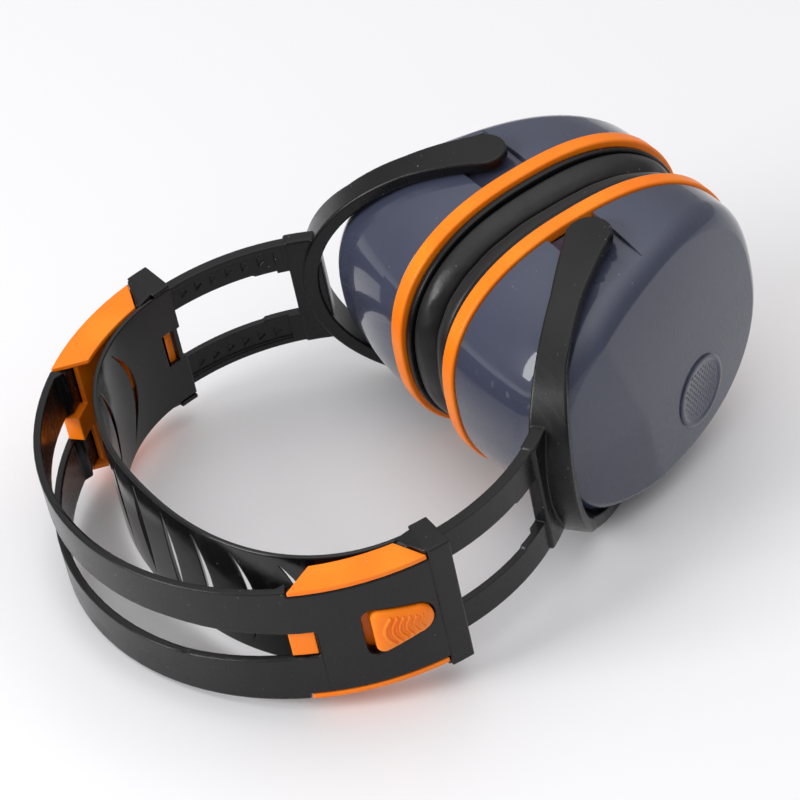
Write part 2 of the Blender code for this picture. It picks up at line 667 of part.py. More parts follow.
def fork_arc(side):
    """The C that embraces the cup: its side view, carried across, and trimmed to its plan."""
    pivot = Vector((PIVOT_X, PIVOT_Y))
    back = FORK_DIRECTION
    across = Vector((-back.y, back.x))
    outer = fork_side_view(FORK_LENGTH, FORK_HALF_HEIGHT)
    inner = fork_side_view(FORK_LENGTH - FORK_BACK_THICKNESS, FORK_HALF_HEIGHT - FORK_TIP_THICKNESS)
    half = FORK_TIP_RADIUS + FORK_BACK_FLARE
    arc = prism("fork_side", outer + inner[::-1], -half, half)
    # The side view's X runs along the fork, its Y up, and its Z across.
    arc.data.transform(
        Matrix(
            (
                (side * back.x, 0, side * across.x, side * pivot.x),
                (back.y, 0, across.y, pivot.y),
                (0, 1, 0, 0),
                (0, 0, 0, 1),
            )
        )
    )
    plan = []
    for turn in spread(90, 270, 180 / TIP_FACETS):
        swing = math.radians(turn)
        plan.append((FORK_TIP_RADIUS * math.cos(swing), FORK_TIP_RADIUS * math.sin(swing)))
    end = FORK_LENGTH + BITE
    arm = FORK_ARM_HALF
    flare_from = (FORK_TAPER + FORK_LENGTH) / 2
    plan += [(FORK_TAPER, -arm), (end, -arm), (end, arm + FORK_BACK_FLARE)]
    plan += [(flare_from, arm), (FORK_TAPER, arm)]
    spots = [pivot + back * s + across * w for s, w in plan]
    trim_half = FORK_HALF_HEIGHT + BITE
    trim = prism("fork_plan", [(side * spot.x, spot.y) for spot in spots], -trim_half, trim_half)
    face_out(arc)
    boolean(arc, [trim], "INTERSECT")
    soften = arc.modifiers.new("soften", "BEVEL")
    soften.width = FORK_SOFTEN
    soften.limit_method = "ANGLE"
    soften.angle_limit = math.radians(50)
    return arc


def face_out(made):
    """Turns a mesh's faces outwards again, after a transform that may have mirrored it."""
    bm = bmesh.new()
    bm.from_mesh(made.data)
    bmesh.ops.recalc_face_normals(bm, faces=bm.faces)
    bm.to_mesh(made.data)
    bm.free()


# ---------------------------------------------------------------- ear cup


def cup_loops(inset, share=1.0, wall=WALL_ROWS, turns=EDGE_TURNS, face=FACE_ROWS):
    """Loops of points on the cup's surface, or this far inside it, as (height over the rim, y, z)."""
    columns = [
        cup_column(y, z, inset, wall, turns, face)
        for y, z in oval((RIM_HALF_LENGTH - inset) * share, (RIM_HALF_WIDTH - inset) * share, CUP_POWER)
    ]
    return list(zip(*columns))


def cup_column(y, z, inset, wall, turns, face):
    """One column of a cup's surface: up its bowed wall, round its edge and towards the middle of its face."""
    size = math.hypot(y, z)
    towards_crown = (1 - y / RIM_HALF_LENGTH) / 2
    radius = EDGE_RADIUS + (EDGE_RADIUS_CROWN - EDGE_RADIUS) * towards_crown**3 - inset

    def inwards(distance):
        left = 1 - distance / size
        return left * y, left * z

    def plane(at_y):
        return CUP_DEPTH - inset - CUP_SLANT * at_y

    top = 0.0
    for _ in range(4):
        top = plane(inwards(top**2 / (2 * WALL_BOW))[0]) - radius
    spots = [(top * row, *inwards((top * row) ** 2 / (2 * WALL_BOW))) for row in wall]
    for turn in turns:
        swing = math.radians(turn)
        edge_y, edge_z = inwards(top**2 / (2 * WALL_BOW) + radius * (1 - math.cos(swing)))
        spots.append((plane(edge_y) - radius * (1 - math.sin(swing)), edge_y, edge_z))
    for row in face:
        spots.append((plane(edge_y * row) + FACE_DOME * (1 - row**2), edge_y * row, edge_z * row))
    return spots


def cup_reach():
    """How far the shell reaches from its pivot, in the direction of the fork's back."""
    spots = [spot for loop in cup_loops(0) for spot in loop]
    from_pivot = [Vector((x - PIVOT_DEPTH, CUP_PAST_PIVOT + y)) for x, y, _ in spots]
    return max(spot.dot(FORK_DIRECTION) for spot in from_pivot)


def cup_body(name, side, inset, loops):
    """A closed bowl through these loops, its face domed to the middle."""
    bm = bmesh.new()
    rings = [[bm.verts.new((side * (RIM_X + x), CUP_Y + y, z)) for x, y, z in loop] for loop in loops]
    for here, after in zip(rings, rings[1:]):
        for i in range(CUP_SIDES):
            j = (i + 1) % CUP_SIDES
            bm.faces.new((here[i], here[j], after[j], after[i]))
    bm.faces.new(rings[0])
    middle = bm.verts.new((side * (RIM_X + CUP_DEPTH - inset + FACE_DOME), CUP_Y, 0))
    for i in range(CUP_SIDES):
        bm.faces.new((rings[-1][i], rings[-1][(i + 1) % CUP_SIDES], middle))
    return mesh_object(name, bm)


def cup_shell(side):
    """The glossy shell: hollow, with a pocket and a bored boss at each pivot, and a plain badge pad."""
    shell = cup_body("shell", side, 0, cup_loops(0))
    inside = cup_loops(CUP_WALL, wall=(0.0, 0.5, 1.0), turns=(45, 90), face=(0.5,))
    mouth = [(-CUP_WALL, y, z) for _, y, z in inside[0]]
    hollow = cup_body("hollow", side, CUP_WALL, [mouth] + inside)
    bosses, cuts = [], []
    boss_reach = PIVOT_X - RIM_X - 2 * FIT
    high = RIM_HALF_WIDTH + CUP_WALL
    for up in (1, -1):
        boss_floor = POCKET_FLOOR - BOSS_DEPTH
        bosses.append(pivot_block("boss", side, boss_reach, BOSS_HALF, up * boss_floor, up * high))
        cuts.append(pivot_block("pocket", side, POCKET_REACH, POCKET_HALF, up * POCKET_FLOOR, up * high))
        bore_end = POCKET_FLOOR - 2 * BOSS_DEPTH
        cuts.append(rod("bore", side, PIN_RADIUS + FIT, up * bore_end, up * high))
    boolean(hollow, [joined("bosses", bosses)], "DIFFERENCE")
    pockets, bores = joined("pockets", cuts[::2]), joined("bores", cuts[1::2])
    boolean(shell, [hollow, pockets, bores], "DIFFERENCE")
    return boolean(shell, [badge_pad(side)], "UNION")


def pivot_block(name, side, half_x, half_y, low, high):
    """A box centred on the cup's pivot, between two heights."""
    bm = bmesh.new()
    bmesh.ops.create_cube(bm, size=1)
    bmesh.ops.scale(bm, verts=bm.verts, vec=(2 * half_x, 2 * half_y, abs(high - low)))
    bmesh.ops.translate(bm, verts=bm.verts, vec=(side * PIVOT_X, PIVOT_Y, (low + high) / 2))
    return mesh_object(name, bm)


def badge_place(side):
    """The middle of the badge pad's foot on the domed end face, and the way it faces."""
    share_y = BADGE_Y / (FACE_SHARE * RIM_HALF_LENGTH)
    share_z = BADGE_Z / (FACE_SHARE * RIM_HALF_WIDTH)
    height = CUP_DEPTH - CUP_SLANT * BADGE_Y + FACE_DOME * (1 - share_y**2 - share_z**2)
    slope_y = CUP_SLANT + 2 * FACE_DOME * share_y / (FACE_SHARE * RIM_HALF_LENGTH)
    slope_z = 2 * FACE_DOME * share_z / (FACE_SHARE * RIM_HALF_WIDTH)
    middle = Vector((side * (RIM_X + height), CUP_Y + BADGE_Y, BADGE_Z))
    return middle, Vector((side, slope_y, slope_z)).normalized()


def badge_pad(side):
    """A plain round pad with a flat face, square to the end face under it."""
    middle, normal = badge_place(side)
    depth = BADGE_PROUD + CUP_WALL / 2
    bm = bmesh.new()
    size = {"radius1": BADGE_RADIUS, "radius2": BADGE_RADIUS, "depth": depth}
    bmesh.ops.create_cone(bm, cap_ends=True, segments=BADGE_SIDES, **size)
    turn = normal.to_track_quat("Z", "Y").to_matrix().to_4x4()
    place = Matrix.Translation(middle + normal * (BADGE_PROUD - depth / 2)) @ turn
    bmesh.ops.transform(bm, matrix=place, verts=bm.verts)
    return mesh_object("badge", bm)


def rim_ring(side):
    """The orange ring between the shell and the cushion's plate."""
    low, high = RING_INNER_X, RING_INNER_X + RING_WIDTH
    soft = RING_SOFTEN
    profile = (
        (soft, low),
        (RING_BREADTH, low),
        (RING_BREADTH, high),
        (soft, high),
        (0, high - soft),
        (0, low + soft),
    )
    return oval_ring("ring", profile, RIM_HALF_LENGTH + RING_PROUD, RIM_HALF_WIDTH + RING_PROUD, side)


def cushion_plate(side):
    """The plate that the cushion sits on, with a spigot that plugs through the ring."""
    front = CUSHION_GAP + CUSHION_HEIGHT + FIT
    back = front + PLATE_THICKNESS
    spigot = max(RING_BREADTH - RING_PROUD, CUP_WALL) + FIT - PLATE_INSET
    spigot_end = RIM_X + FIT
    breadth = CUSHION_BREADTH + CUSHION_INSET
    profile = (
        (0, front),
        (breadth, front),
        (breadth, back),
        (spigot + SPIGOT_WALL, back),
        (spigot + SPIGOT_WALL, spigot_end),
        (spigot, spigot_end),
        (spigot, back),
        (0, back),
    )
    return oval_ring("plate", profile, RIM_HALF_LENGTH - PLATE_INSET, RIM_HALF_WIDTH - PLATE_INSET, side)


def cushion_section(inset, front, back, turns):
    """A section open at its back: a flat face between two rounded edges, all this far inside the skin."""
    wide = CUSHION_BREADTH - inset
    round_edge = CUSHION_SHOULDER - inset
    points = []
    for turn in turns:
        swing = math.radians(turn)
        across = round_edge * (1 - math.cos(swing))
        points.append((inset + across, front + round_edge * (1 - math.sin(swing))))
    points += [(CUSHION_BREADTH - offset, x) for offset, x in reversed(points)]
    return [(inset, back)] + points + [(wide, back)]


def ear_cushion(side):
    """The cushion's skin, open towards its plate."""
    front, back = CUSHION_GAP, CUSHION_GAP + CUSHION_HEIGHT
    section = cushion_section(0, front, back, (0, 30, 60, 90))
    section += cushion_section(CUSHION_SKIN, front + CUSHION_SKIN, back, (0, 90))[::-1]
    half_length = RIM_HALF_LENGTH - CUSHION_INSET
    return oval_ring("cushion", section, half_length, RIM_HALF_WIDTH - CUSHION_INSET, side)


def cushion_foam(side):
    """The foam ring inside the cushion's skin."""
    inset = CUSHION_SKIN + 1.5 * FIT
    section = cushion_section(inset, CUSHION_GAP + inset, CUSHION_GAP + CUSHION_HEIGHT, (0, 90))
    half_length = RIM_HALF_LENGTH - CUSHION_INSET
    return oval_ring("foam", section, half_length, RIM_HALF_WIDTH - CUSHION_INSET, side)


def liner_foam(side):
    """The foam pad that lies against the inside of the end face."""
    inset = CUP_WALL + 1.2 * FIT
    loops = cup_loops(inset, LINER_SHARE, wall=(1.0,), turns=(45, 90), face=(0.5,))
    return cup_body("liner", side, inset, loops)


# ---------------------------------------------------------------- assembly


def lying_tilt():
    """How far the band's plane tips, so that the crown's edge and a fork's arm both touch the ground."""
    arm = [
        (PIVOT_Y + along * FORK_DIRECTION.y, height)
        for along, height in fork_side_view(FORK_LENGTH, FORK_HALF_HEIGHT)
        if height < 0
    ]
    tilt = 0.0
    for _ in range(20):
        y, z = min(arm, key=lambda spot: spot[0] * math.sin(tilt) + spot[1] * math.cos(tilt))
        tilt = math.atan2(-BAND_HALF_HEIGHT - z, y + BAND_RADIUS)
    return tilt


def stand(root):
    """Tips the whole, and moves it to stand on Z = 0 with the origin under the box's middle."""
    root.rotation_euler = (lying_tilt(), 0, 0)
    bpy.context.view_layer.update()
    graph = bpy.context.evaluated_depsgraph_get()
    spots = []
    for part in PARTS.objects:
        if part.type == "MESH":
            solid = part.evaluated_get(graph)
            spots += [solid.matrix_world @ vertex.co for vertex in solid.data.vertices]
    low = Vector(min(spot[i] for spot in spots) for i in range(3))
    high = Vector(max(spot[i] for spot in spots) for i in range(3))
    root.location = (-(low.x + high.x) / 2, -(low.y + high.y) / 2, -low.z)


def build():
    headband = empty("headband")
    finish(outer_band(), "outer_band", "black_plastic", headband)
    finish(inner_strap(), "inner_strap", "black_strap", headband)
    for hand, side in (("right", 1), ("left", -1)):
        finish(slide_guide(side), hand + "_slide_guide", "orange_plastic", headband)
        lock = empty(hand + "_lock", headband)
        finish(lock_button(side), hand + "_lock_button", "orange_plastic", lock)
        slider = empty(hand + "_slider", headband)
        finish(yoke(side), hand + "_yoke", "black_plastic", slider)
        cup = empty(hand + "_cup", slider, (side * PIVOT_X, PIVOT_Y, 0))
        finish(cup_shell(side), hand + "_cup_shell", "slate_gloss", cup)
        finish(rim_ring(side), hand + "_rim_ring", "orange_plastic", cup)
        finish(cushion_plate(side), hand + "_cushion_plate", "black_plastic", cup)
        finish(ear_cushion(side), hand + "_ear_cushion", "black_cushion", cup)
        finish(cushion_foam(side), hand + "_cushion_foam", "grey_foam", cup)
        finish(liner_foam(side), hand + "_liner_foam", "grey_foam", cup)
    stand(headband)


# The fork's direction and the cup's reach set its length, and the rails' arc sets how far the cup lies
# from the crown.
FORK_DIRECTION = Vector(polar(1, FORK_ANGLE))
FORK_LENGTH = cup_reach() + FORK_GAP + FORK_BACK_THICKNESS
BACK_LENGTH = FORK_LENGTH - FORK_PAST_RAILS
FORK_BACK_X = PIVOT_X + BACK_LENGTH * FORK_DIRECTION.x
FORK_BACK_Y = math.sqrt((RAIL_OUTER + FIT) ** 2 - FORK_BACK_X**2)
FORK_BACK_ANGLE = math.degrees(math.atan2(FORK_BACK_Y, FORK_BACK_X))
PIVOT_Y = FORK_BACK_Y - BACK_LENGTH * FORK_DIRECTION.y
CUP_Y = PIVOT_Y + CUP_PAST_PIVOT
RAIL_OUTER_ANGLE = FORK_BACK_ANGLE - RAIL_TO_FORK_ANGLE
SHOULDER_ANGLE = RAIL_OUTER_ANGLE - SHOULDER_FROM_END_ANGLE
TRACK_END_ANGLE = RAIL_OUTER_ANGLE - TRACK_FROM_END_ANGLE

clear_scene()
PARTS = new_collection("earmuff_hearing_protector")
CUTTERS = new_collection("cutters", hidden=True)
build()
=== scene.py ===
# %% [markdown]
# # An earmuff hearing protector
# Two glossy slate cups hang in the forks of two yokes. The yokes slide in the orange-trimmed sleeves of a
# springy black headband, and a thinner strap inside the band bears on the head. The whole lies on its side.
#
# The solid model gives each piece its place and says what moves with what. This lesson gives the pieces
# their looks: rounder forms, soft cushions, and plastics with grain, ripple, dust and worn edges.

# %% Load the frame
import json
import math
from contextlib import contextmanager

import bmesh
import bpy
from mathutils import Matrix, Vector
from mathutils.bvhtree import BVHTree
from mathutils.noise import noise_vector, seed_set


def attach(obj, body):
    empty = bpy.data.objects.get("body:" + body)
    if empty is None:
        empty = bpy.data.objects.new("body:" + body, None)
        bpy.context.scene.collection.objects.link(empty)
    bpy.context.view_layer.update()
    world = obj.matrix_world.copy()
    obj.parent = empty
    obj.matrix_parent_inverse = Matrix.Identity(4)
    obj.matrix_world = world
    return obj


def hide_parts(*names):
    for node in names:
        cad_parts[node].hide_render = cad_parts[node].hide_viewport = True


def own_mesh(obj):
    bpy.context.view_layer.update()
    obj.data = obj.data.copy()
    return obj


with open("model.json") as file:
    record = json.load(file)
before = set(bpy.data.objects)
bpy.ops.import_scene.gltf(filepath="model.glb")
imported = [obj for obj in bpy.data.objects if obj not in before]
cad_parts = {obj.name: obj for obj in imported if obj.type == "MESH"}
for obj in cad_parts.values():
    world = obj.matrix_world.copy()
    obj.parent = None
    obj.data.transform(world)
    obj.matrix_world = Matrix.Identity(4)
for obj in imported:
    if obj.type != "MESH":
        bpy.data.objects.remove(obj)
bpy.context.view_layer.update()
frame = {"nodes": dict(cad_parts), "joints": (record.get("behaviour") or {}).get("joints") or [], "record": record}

# %% [markdown]
# ## The band's own frame
# The headband lies tipped on the ground. Its pieces are far easier to draw flat: X across the band, the
# crown at -Y and Z through the band's height. The hinge that the yokes slide round runs through that
# frame's origin and along its Z, so the frame is read from the hinge and never typed in.


# %% The band's own frame
MM = 0.001
SIDES = {"right": 1, "left": -1}


def band_frame():
    """The matrix that takes a point drawn in the band's frame to where it lies."""
    hinge = next(joint for joint in frame["joints"] if joint["name"] == "left_extension")
    up = Vector(hinge["axis"]).normalized()
    across = Vector((1, 0, 0))
    turn = Matrix((across, up.cross(across), up)).transposed().to_4x4()
    return Matrix.Translation(hinge["pos_m"]) @ turn


BAND = band_frame()
print("the band is tipped by", round(math.degrees(math.asin(-BAND[1][2])), 2), "degrees")

# %% [markdown]
# ## Helpers for node trees
# A shader is a graph. Each helper below adds one node and wires it, so that a material reads as a short
# list of steps and not as a page of wiring. A tree of geometry is made of the same steps.


# %% Helpers for node trees
def add_node(tree, kind, links=None, **settings):
    """Adds a node. Links are {input: value or output socket}; settings are the node's own properties."""
    made = tree.nodes.new(kind)
    for name, value in settings.items():
        setattr(made, name, value)
    for name, value in (links or {}).items():
        if isinstance(value, bpy.types.NodeSocket):
            tree.links.new(value, made.inputs[name])
        else:
            made.inputs[name].default_value = value
    return made


def output_of(tree, kind, links=None, output=0, **settings):
    """Adds a node and returns one of its outputs."""
    return add_node(tree, kind, links, **settings).outputs[output]


def maths(tree, operation, first, second=0.0):
    return output_of(tree, "ShaderNodeMath", {0: first, 1: second}, operation=operation)


def xyz(tree, x=0.0, y=0.0, z=0.0):
    return output_of(tree, "ShaderNodeCombineXYZ", {"X": x, "Y": y, "Z": z})


def ramp(tree, value, low, high):
    """Smoothly takes low..high to 0..1."""
    links = {"Value": value, "From Min": low, "From Max": high}
    return output_of(tree, "ShaderNodeMapRange", links, interpolation_type="SMOOTHSTEP")


def blend_colours(tree, share, first, second):
    """Mixes two colours by a mask."""
    return output_of(tree, "ShaderNodeMix", {0: share, 6: first, 7: second}, output=2, data_type="RGBA")


def noise(tree, where, scale, detail=2.0, roughness=0.5):
    """Plain 3D noise from 0 to 1."""
    links = {"Vector": where, "Scale": scale, "Detail": detail, "Roughness": roughness}
    return output_of(tree, "ShaderNodeTexNoise", links)


def cells(tree, where, scale, output="Distance"):
    """Rounded cells, by the distance from each cell's middle."""
    return output_of(tree, "ShaderNodeTexVoronoi", {"Vector": where, "Scale": scale}, output)


def new_tree(name, kind, inputs, outputs):
    """An empty group: inputs {name: default or kind of socket}, outputs {name: kind}. Returns it with the
    sockets that give its inputs and those that take its results."""
    tree = bpy.data.node_groups.new(name, kind + "NodeTree")
    for label, value in outputs.items():
        tree.interface.new_socket(label, in_out="OUTPUT", socket_type="NodeSocket" + value)
    for label, value in inputs.items():
        plain = "Int" if isinstance(value, int) else "Float"
        socket_type = "NodeSocket" + (value if isinstance(value, str) else plain)
        socket = tree.interface.new_socket(label, in_out="INPUT", socket_type=socket_type)
        if not isinstance(value, str):
            socket.default_value = value
    return tree, tree.nodes.new("NodeGroupInput").outputs, tree.nodes.new("NodeGroupOutput").inputs


# %% [markdown]
# ## Shared effects
# Every plastic here left a polished or lightly textured steel mould, and has been handled since. Four
# effects say that, and each is a group with its own inputs, so that each plastic can have its own values:
#
# - **moulded grain**: a fine texture with a slow ripple under it, as shrinkage leaves;
# - **worn edge**: where a bevelled normal leaves the true one, the surface is an edge, and it is paler;
# - **dust**: small pale specks, gathered by a slow noise into some places and not others;
# - **wipe marks**: long faint streaks that change only how rough the surface is.


# %% Shared effects
def moulded_grain():
    inputs = {"Where": "Vector", "Grain Scale": 2500.0, "Grain": 0.5, "Ripple Scale": 60.0, "Ripple": 0.5}
    tree, given, result = new_tree("moulded_grain", "Shader", inputs, {"Height": "Float", "Mottle": "Float"})
    fine = noise(tree, given["Where"], given["Grain Scale"], 3.0, 0.6)
    slow = noise(tree, given["Where"], given["Ripple Scale"], 1.0)
    fine_part = maths(tree, "MULTIPLY", fine, given["Grain"])
    slow_part = maths(tree, "MULTIPLY", slow, given["Ripple"])
    tree.links.new(maths(tree, "ADD", fine_part, slow_part), result["Height"])
    tree.links.new(slow, result["Mottle"])
    return tree


def worn_edge():
    inputs = {"Where": "Vector", "Radius": 0.0005, "Patchiness Scale": 120.0}
    tree, given, result = new_tree("worn_edge", "Shader", inputs, {"Mask": "Float", "Rounded": "Vector"})
    rounded = output_of(tree, "ShaderNodeBevel", {"Radius": given["Radius"]}, samples=6)
    true = output_of(tree, "ShaderNodeNewGeometry", output="Normal")
    alike = output_of(tree, "ShaderNodeVectorMath", {0: rounded, 1: true}, "Value", operation="DOT_PRODUCT")
    edge = ramp(tree, maths(tree, "SUBTRACT", 1.0, alike), 0.01, 0.14)
    patches = ramp(tree, noise(tree, given["Where"], given["Patchiness Scale"], 3.0), 0.38, 0.68)
    tree.links.new(maths(tree, "MULTIPLY", edge, patches), result["Mask"])
    tree.links.new(rounded, result["Rounded"])
    return tree


def dust():
    inputs = {"Where": "Vector", "Speck Scale": 900.0, "Amount": 0.5}
    tree, given, result = new_tree("dust", "Shader", inputs, {"Mask": "Float"})
    specks = ramp(tree, cells(tree, given["Where"], given["Speck Scale"]), 0.16, 0.08)
    middle = cells(tree, given["Where"], given["Speck Scale"], "Position")
    some = ramp(tree, noise(tree, middle, 9000.0, 0.0), 0.62, 0.66)
    gathered = ramp(tree, noise(tree, given["Where"], 55.0, 2.0), 0.45, 0.7)
    mask = maths(tree, "MULTIPLY", maths(tree, "MULTIPLY", specks, some), gathered)
    tree.links.new(maths(tree, "MULTIPLY", mask, given["Amount"]), result["Mask"])
    return tree


def wipe_marks():
    inputs = {"Where": "Vector", "Scale": 70.0, "Stretch": 7.0}
    tree, given, result = new_tree("wipe_marks", "Shader", inputs, {"Mask": "Float"})
    stretch = xyz(tree, 1.0, given["Stretch"], 1.6)
    pulled = output_of(tree, "ShaderNodeVectorMath", {0: given["Where"], 1: stretch}, operation="MULTIPLY")
    streaks = noise(tree, pulled, given["Scale"], 4.0, 0.65)
    tree.links.new(ramp(tree, streaks, 0.42, 0.72), result["Mask"])
    return tree


GROUPS = {made.name: made for made in (moulded_grain(), worn_edge(), dust(), wipe_marks())}
print("shared effects:", sorted(GROUPS))


# %% A material and its groups
def begin_material(name):
    """A material with a Principled shader. Returns it, its tree, its shader and object coordinates."""
    made = bpy.data.materials.new(name)
    made.use_nodes = True
    tree = made.node_tree
    return made, tree, tree.nodes["Principled BSDF"], output_of(tree, "ShaderNodeTexCoord", output="Object")


def effect(tree, name, where, **values):
    """Places a shared effect in a material."""
    made = tree.nodes.new("ShaderNodeGroup")
    made.node_tree = GROUPS[name]
    tree.links.new(where, made.inputs["Where"])
    for label, value in values.items():
        made.inputs[label.replace("_", " ")].default_value = value
    return made.outputs


def bump(tree, height, distance, under=None):
    """A Bump node, with another normal under it."""
    links = {"Height": height, "Distance": distance, "Strength": 1.0}
    if under is not None:
        links["Normal"] = under
    return output_of(tree, "ShaderNodeBump", links)


def rough_between(tree, shader, mask, smooth, rough):
    """Roughness from a mask."""
    made = output_of(tree, "ShaderNodeMapRange", {"Value": mask, "To Min": smooth, "To Max": rough})
    tree.links.new(made, shader.inputs["Roughness"])


# %% [markdown]
# ## Moulded plastics
# The band and the yokes are a satin black nylon with a fine spark-eroded grain. The strap is the same
# black from a polished mould, so it mirrors the lamps. The trims are a satin orange with a soft skin, and
# the cups a thick slate ABS with a glassy coat. They share one recipe with their own numbers: a colour
# that drifts a little, a rounded and faintly paler edge, specks of dust, and roughness that wiping varies.


# %% Moulded plastics
DUST_COLOUR = (0.55, 0.55, 0.56, 1)


def plastic(name, colour, drift, edge, smooth, rough, grain, grain_depth, ripple, ripple_depth, dusty, ior, coat=0.0):
    made, tree, shader, where = begin_material(name)
    mould = effect(tree, "moulded_grain", where, Grain_Scale=grain, Grain=0.5, Ripple_Scale=ripple, Ripple=0.0)
    swell = effect(tree, "moulded_grain", where, Grain_Scale=ripple * 2.3, Grain=0.3, Ripple_Scale=ripple, Ripple=1.0)
    worn = effect(tree, "worn_edge", where, Radius=0.0006)
    specks = effect(tree, "dust", where, Speck_Scale=620.0, Amount=dusty)
    wiped = effect(tree, "wipe_marks", where, Scale=60.0, Stretch=6.0)
    body = blend_colours(tree, ramp(tree, swell["Mottle"], 0.3, 0.7), (*colour, 1), (*drift, 1))
    edged = blend_colours(tree, maths(tree, "MULTIPLY", worn["Mask"], 0.55), body, (*edge, 1))
    dusted = blend_colours(tree, specks["Mask"], edged, DUST_COLOUR)
    tree.links.new(dusted, shader.inputs["Base Color"])
    uneven = maths(tree, "ADD", maths(tree, "MULTIPLY", wiped["Mask"], 0.7), maths(tree, "MULTIPLY", specks["Mask"], 2))
    rough_between(tree, shader, uneven, smooth, rough)
    waves = bump(tree, swell["Height"], ripple_depth, under=worn["Rounded"])
    tree.links.new(bump(tree, mould["Height"], grain_depth, under=waves), shader.inputs["Normal"])
    shader.inputs["IOR"].default_value = ior
    if coat:
        for label, value in (("Weight", coat), ("Roughness", 0.03), ("IOR", 1.42)):
            shader.inputs["Coat " + label].default_value = value
    return made


FINISHES = {
    "black_plastic": plastic(
        "satin_black_nylon", (0.004, 0.004, 0.0048), (0.006, 0.006, 0.007), (0.03, 0.03, 0.033), smooth=0.24,
        rough=0.36, grain=2600.0, grain_depth=0.00003, ripple=70.0, ripple_depth=0.00005, dusty=0.4, ior=1.38,
    ),
    "black_strap": plastic(
        "polished_black_strap", (0.004, 0.004, 0.0045), (0.006, 0.006, 0.0065), (0.028, 0.028, 0.03), smooth=0.1,
        rough=0.26, grain=1800.0, grain_depth=0.000004, ripple=55.0, ripple_depth=0.00006, dusty=0.5, ior=1.45,
    ),
    "orange_plastic": plastic(
        "satin_orange", (1.0, 0.205, 0.003), (1.0, 0.24, 0.006), (1.0, 0.38, 0.08), smooth=0.36,
        rough=0.48, grain=2200.0, grain_depth=0.000012, ripple=80.0, ripple_depth=0.00003, dusty=0.3, ior=1.36,
    ),
    "slate_gloss": plastic(
        "gloss_slate", (0.047, 0.053, 0.086), (0.053, 0.06, 0.097), (0.13, 0.14, 0.18), smooth=0.22,
        rough=0.36, grain=1500.0, grain_depth=0.000002, ripple=34.0, ripple_depth=0.00004, dusty=0.3, ior=1.2, coat=1.0,
    ),
}
print("plastics:", sorted(made.name for made in FINISHES.values()))

# %% [markdown]
# ## Soft goods
# A cushion's cover is a thin, soft, slightly leathery film: fine pebbles, long shallow creases, and a
# dull gloss. The foams are open-celled, so they get round pits at two sizes, with painted shade darkening each pit.


# %% Soft goods
def cushion_cover():
    made, tree, shader, where = begin_material("soft_black_cover")
    mould = effect(tree, "moulded_grain", where, Grain_Scale=1500.0, Grain=0.6, Ripple_Scale=140.0, Ripple=0.5)
    wiped = effect(tree, "wipe_marks", where, Scale=50.0, Stretch=3.0)
    specks = effect(tree, "dust", where, Speck_Scale=620.0, Amount=0.5)
    body = blend_colours(tree, mould["Mottle"], (0.006, 0.006, 0.0065, 1), (0.011, 0.011, 0.012, 1))
    dusted = blend_colours(tree, specks["Mask"], body, (0.5, 0.5, 0.5, 1))
    tree.links.new(dusted, shader.inputs["Base Color"])
    rough_between(tree, shader, wiped["Mask"], 0.34, 0.46)
    pebbled = bump(tree, cells(tree, where, 1100.0), 0.00002)
    tree.links.new(bump(tree, mould["Height"], 0.00004, under=pebbled), shader.inputs["Normal"])
    for label, value in (("IOR", 1.42), ("Sheen Weight", 0.08), ("Sheen Roughness", 0.4)):
        shader.inputs[label].default_value = value
    return made


def open_foam():
    made, tree, shader, where = begin_material("open_grey_foam")
    pores = cells(tree, where, 900.0)
    deep = maths(tree, "ADD", pores, maths(tree, "MULTIPLY", cells(tree, where, 2400.0), 0.4))
    # Painted shade: the colour goes darker towards the bottom of each pore, where shade would fall.
    body = blend_colours(tree, ramp(tree, deep, 0.25, 0.9), (0.02, 0.02, 0.022, 1), (0.075, 0.075, 0.082, 1))
    tree.links.new(body, shader.inputs["Base Color"])
    tree.links.new(bump(tree, deep, 0.0004), shader.inputs["Normal"])
    rough_between(tree, shader, pores, 0.8, 0.95)
    return made


FINISHES["black_cushion"] = cushion_cover()
FINISHES["grey_foam"] = open_foam()
print("finishes for", len(FINISHES), "of the record's material slots")


# %% [markdown]
# ## Measuring the solids in the band's frame
# Every piece takes its place from the solid that it stands for. The boxes are read in the band's frame,
# where they line up with the pieces, and in millimetres, which are easy to compare with a caliper.


# %% Measuring the solids
FLAT = BAND.inverted()


def flat_box(name):
    """The lowest and highest corners of a CAD node in the band's frame, in millimetres."""
    spots = [FLAT @ vertex.co / MM for vertex in frame["nodes"][name].data.vertices]
    return [Vector(pick(spot[i] for spot in spots) for i in range(3)) for pick in (min, max)]


def joint_spot(name):
    """Where a joint's axis passes, in the band's frame, in millimetres."""
    joint = next(joint for joint in frame["joints"] if joint["name"] == name)
    return FLAT @ Vector(joint["pos_m"]) / MM


RING_LOW, RING_HIGH = flat_box("right_rim_ring")
PIVOT = joint_spot("right_cup_tilt")
CUP_Y = (RING_LOW.y + RING_HIGH.y) / 2
RING_PROUD = 0.8
RIM_HALF_LENGTH = (RING_HIGH.y - RING_LOW.y) / 2 - RING_PROUD
RIM_HALF_WIDTH = (RING_HIGH.z - RING_LOW.z) / 2 - RING_PROUD
RIM_X = RING_HIGH.x + 0.3
print("rim half sizes:", round(RIM_HALF_LENGTH, 2), round(RIM_HALF_WIDTH, 2), "mm; rim at", round(RIM_X, 2))
print("cup middle at", round(CUP_Y, 2), "mm and its pivot at", [round(v, 2) for v in PIVOT])

# %% Meshes and the modifiers that work on them
def written(bm, label):
    mesh = bpy.data.meshes.new(label)
    bm.to_mesh(mesh)
    bm.free()
    return mesh


def mesh_from(bm, label):
    """A bmesh as a mesh, its faces turned outwards."""
    bmesh.ops.recalc_face_normals(bm, faces=bm.faces)
    return written(bm, label)


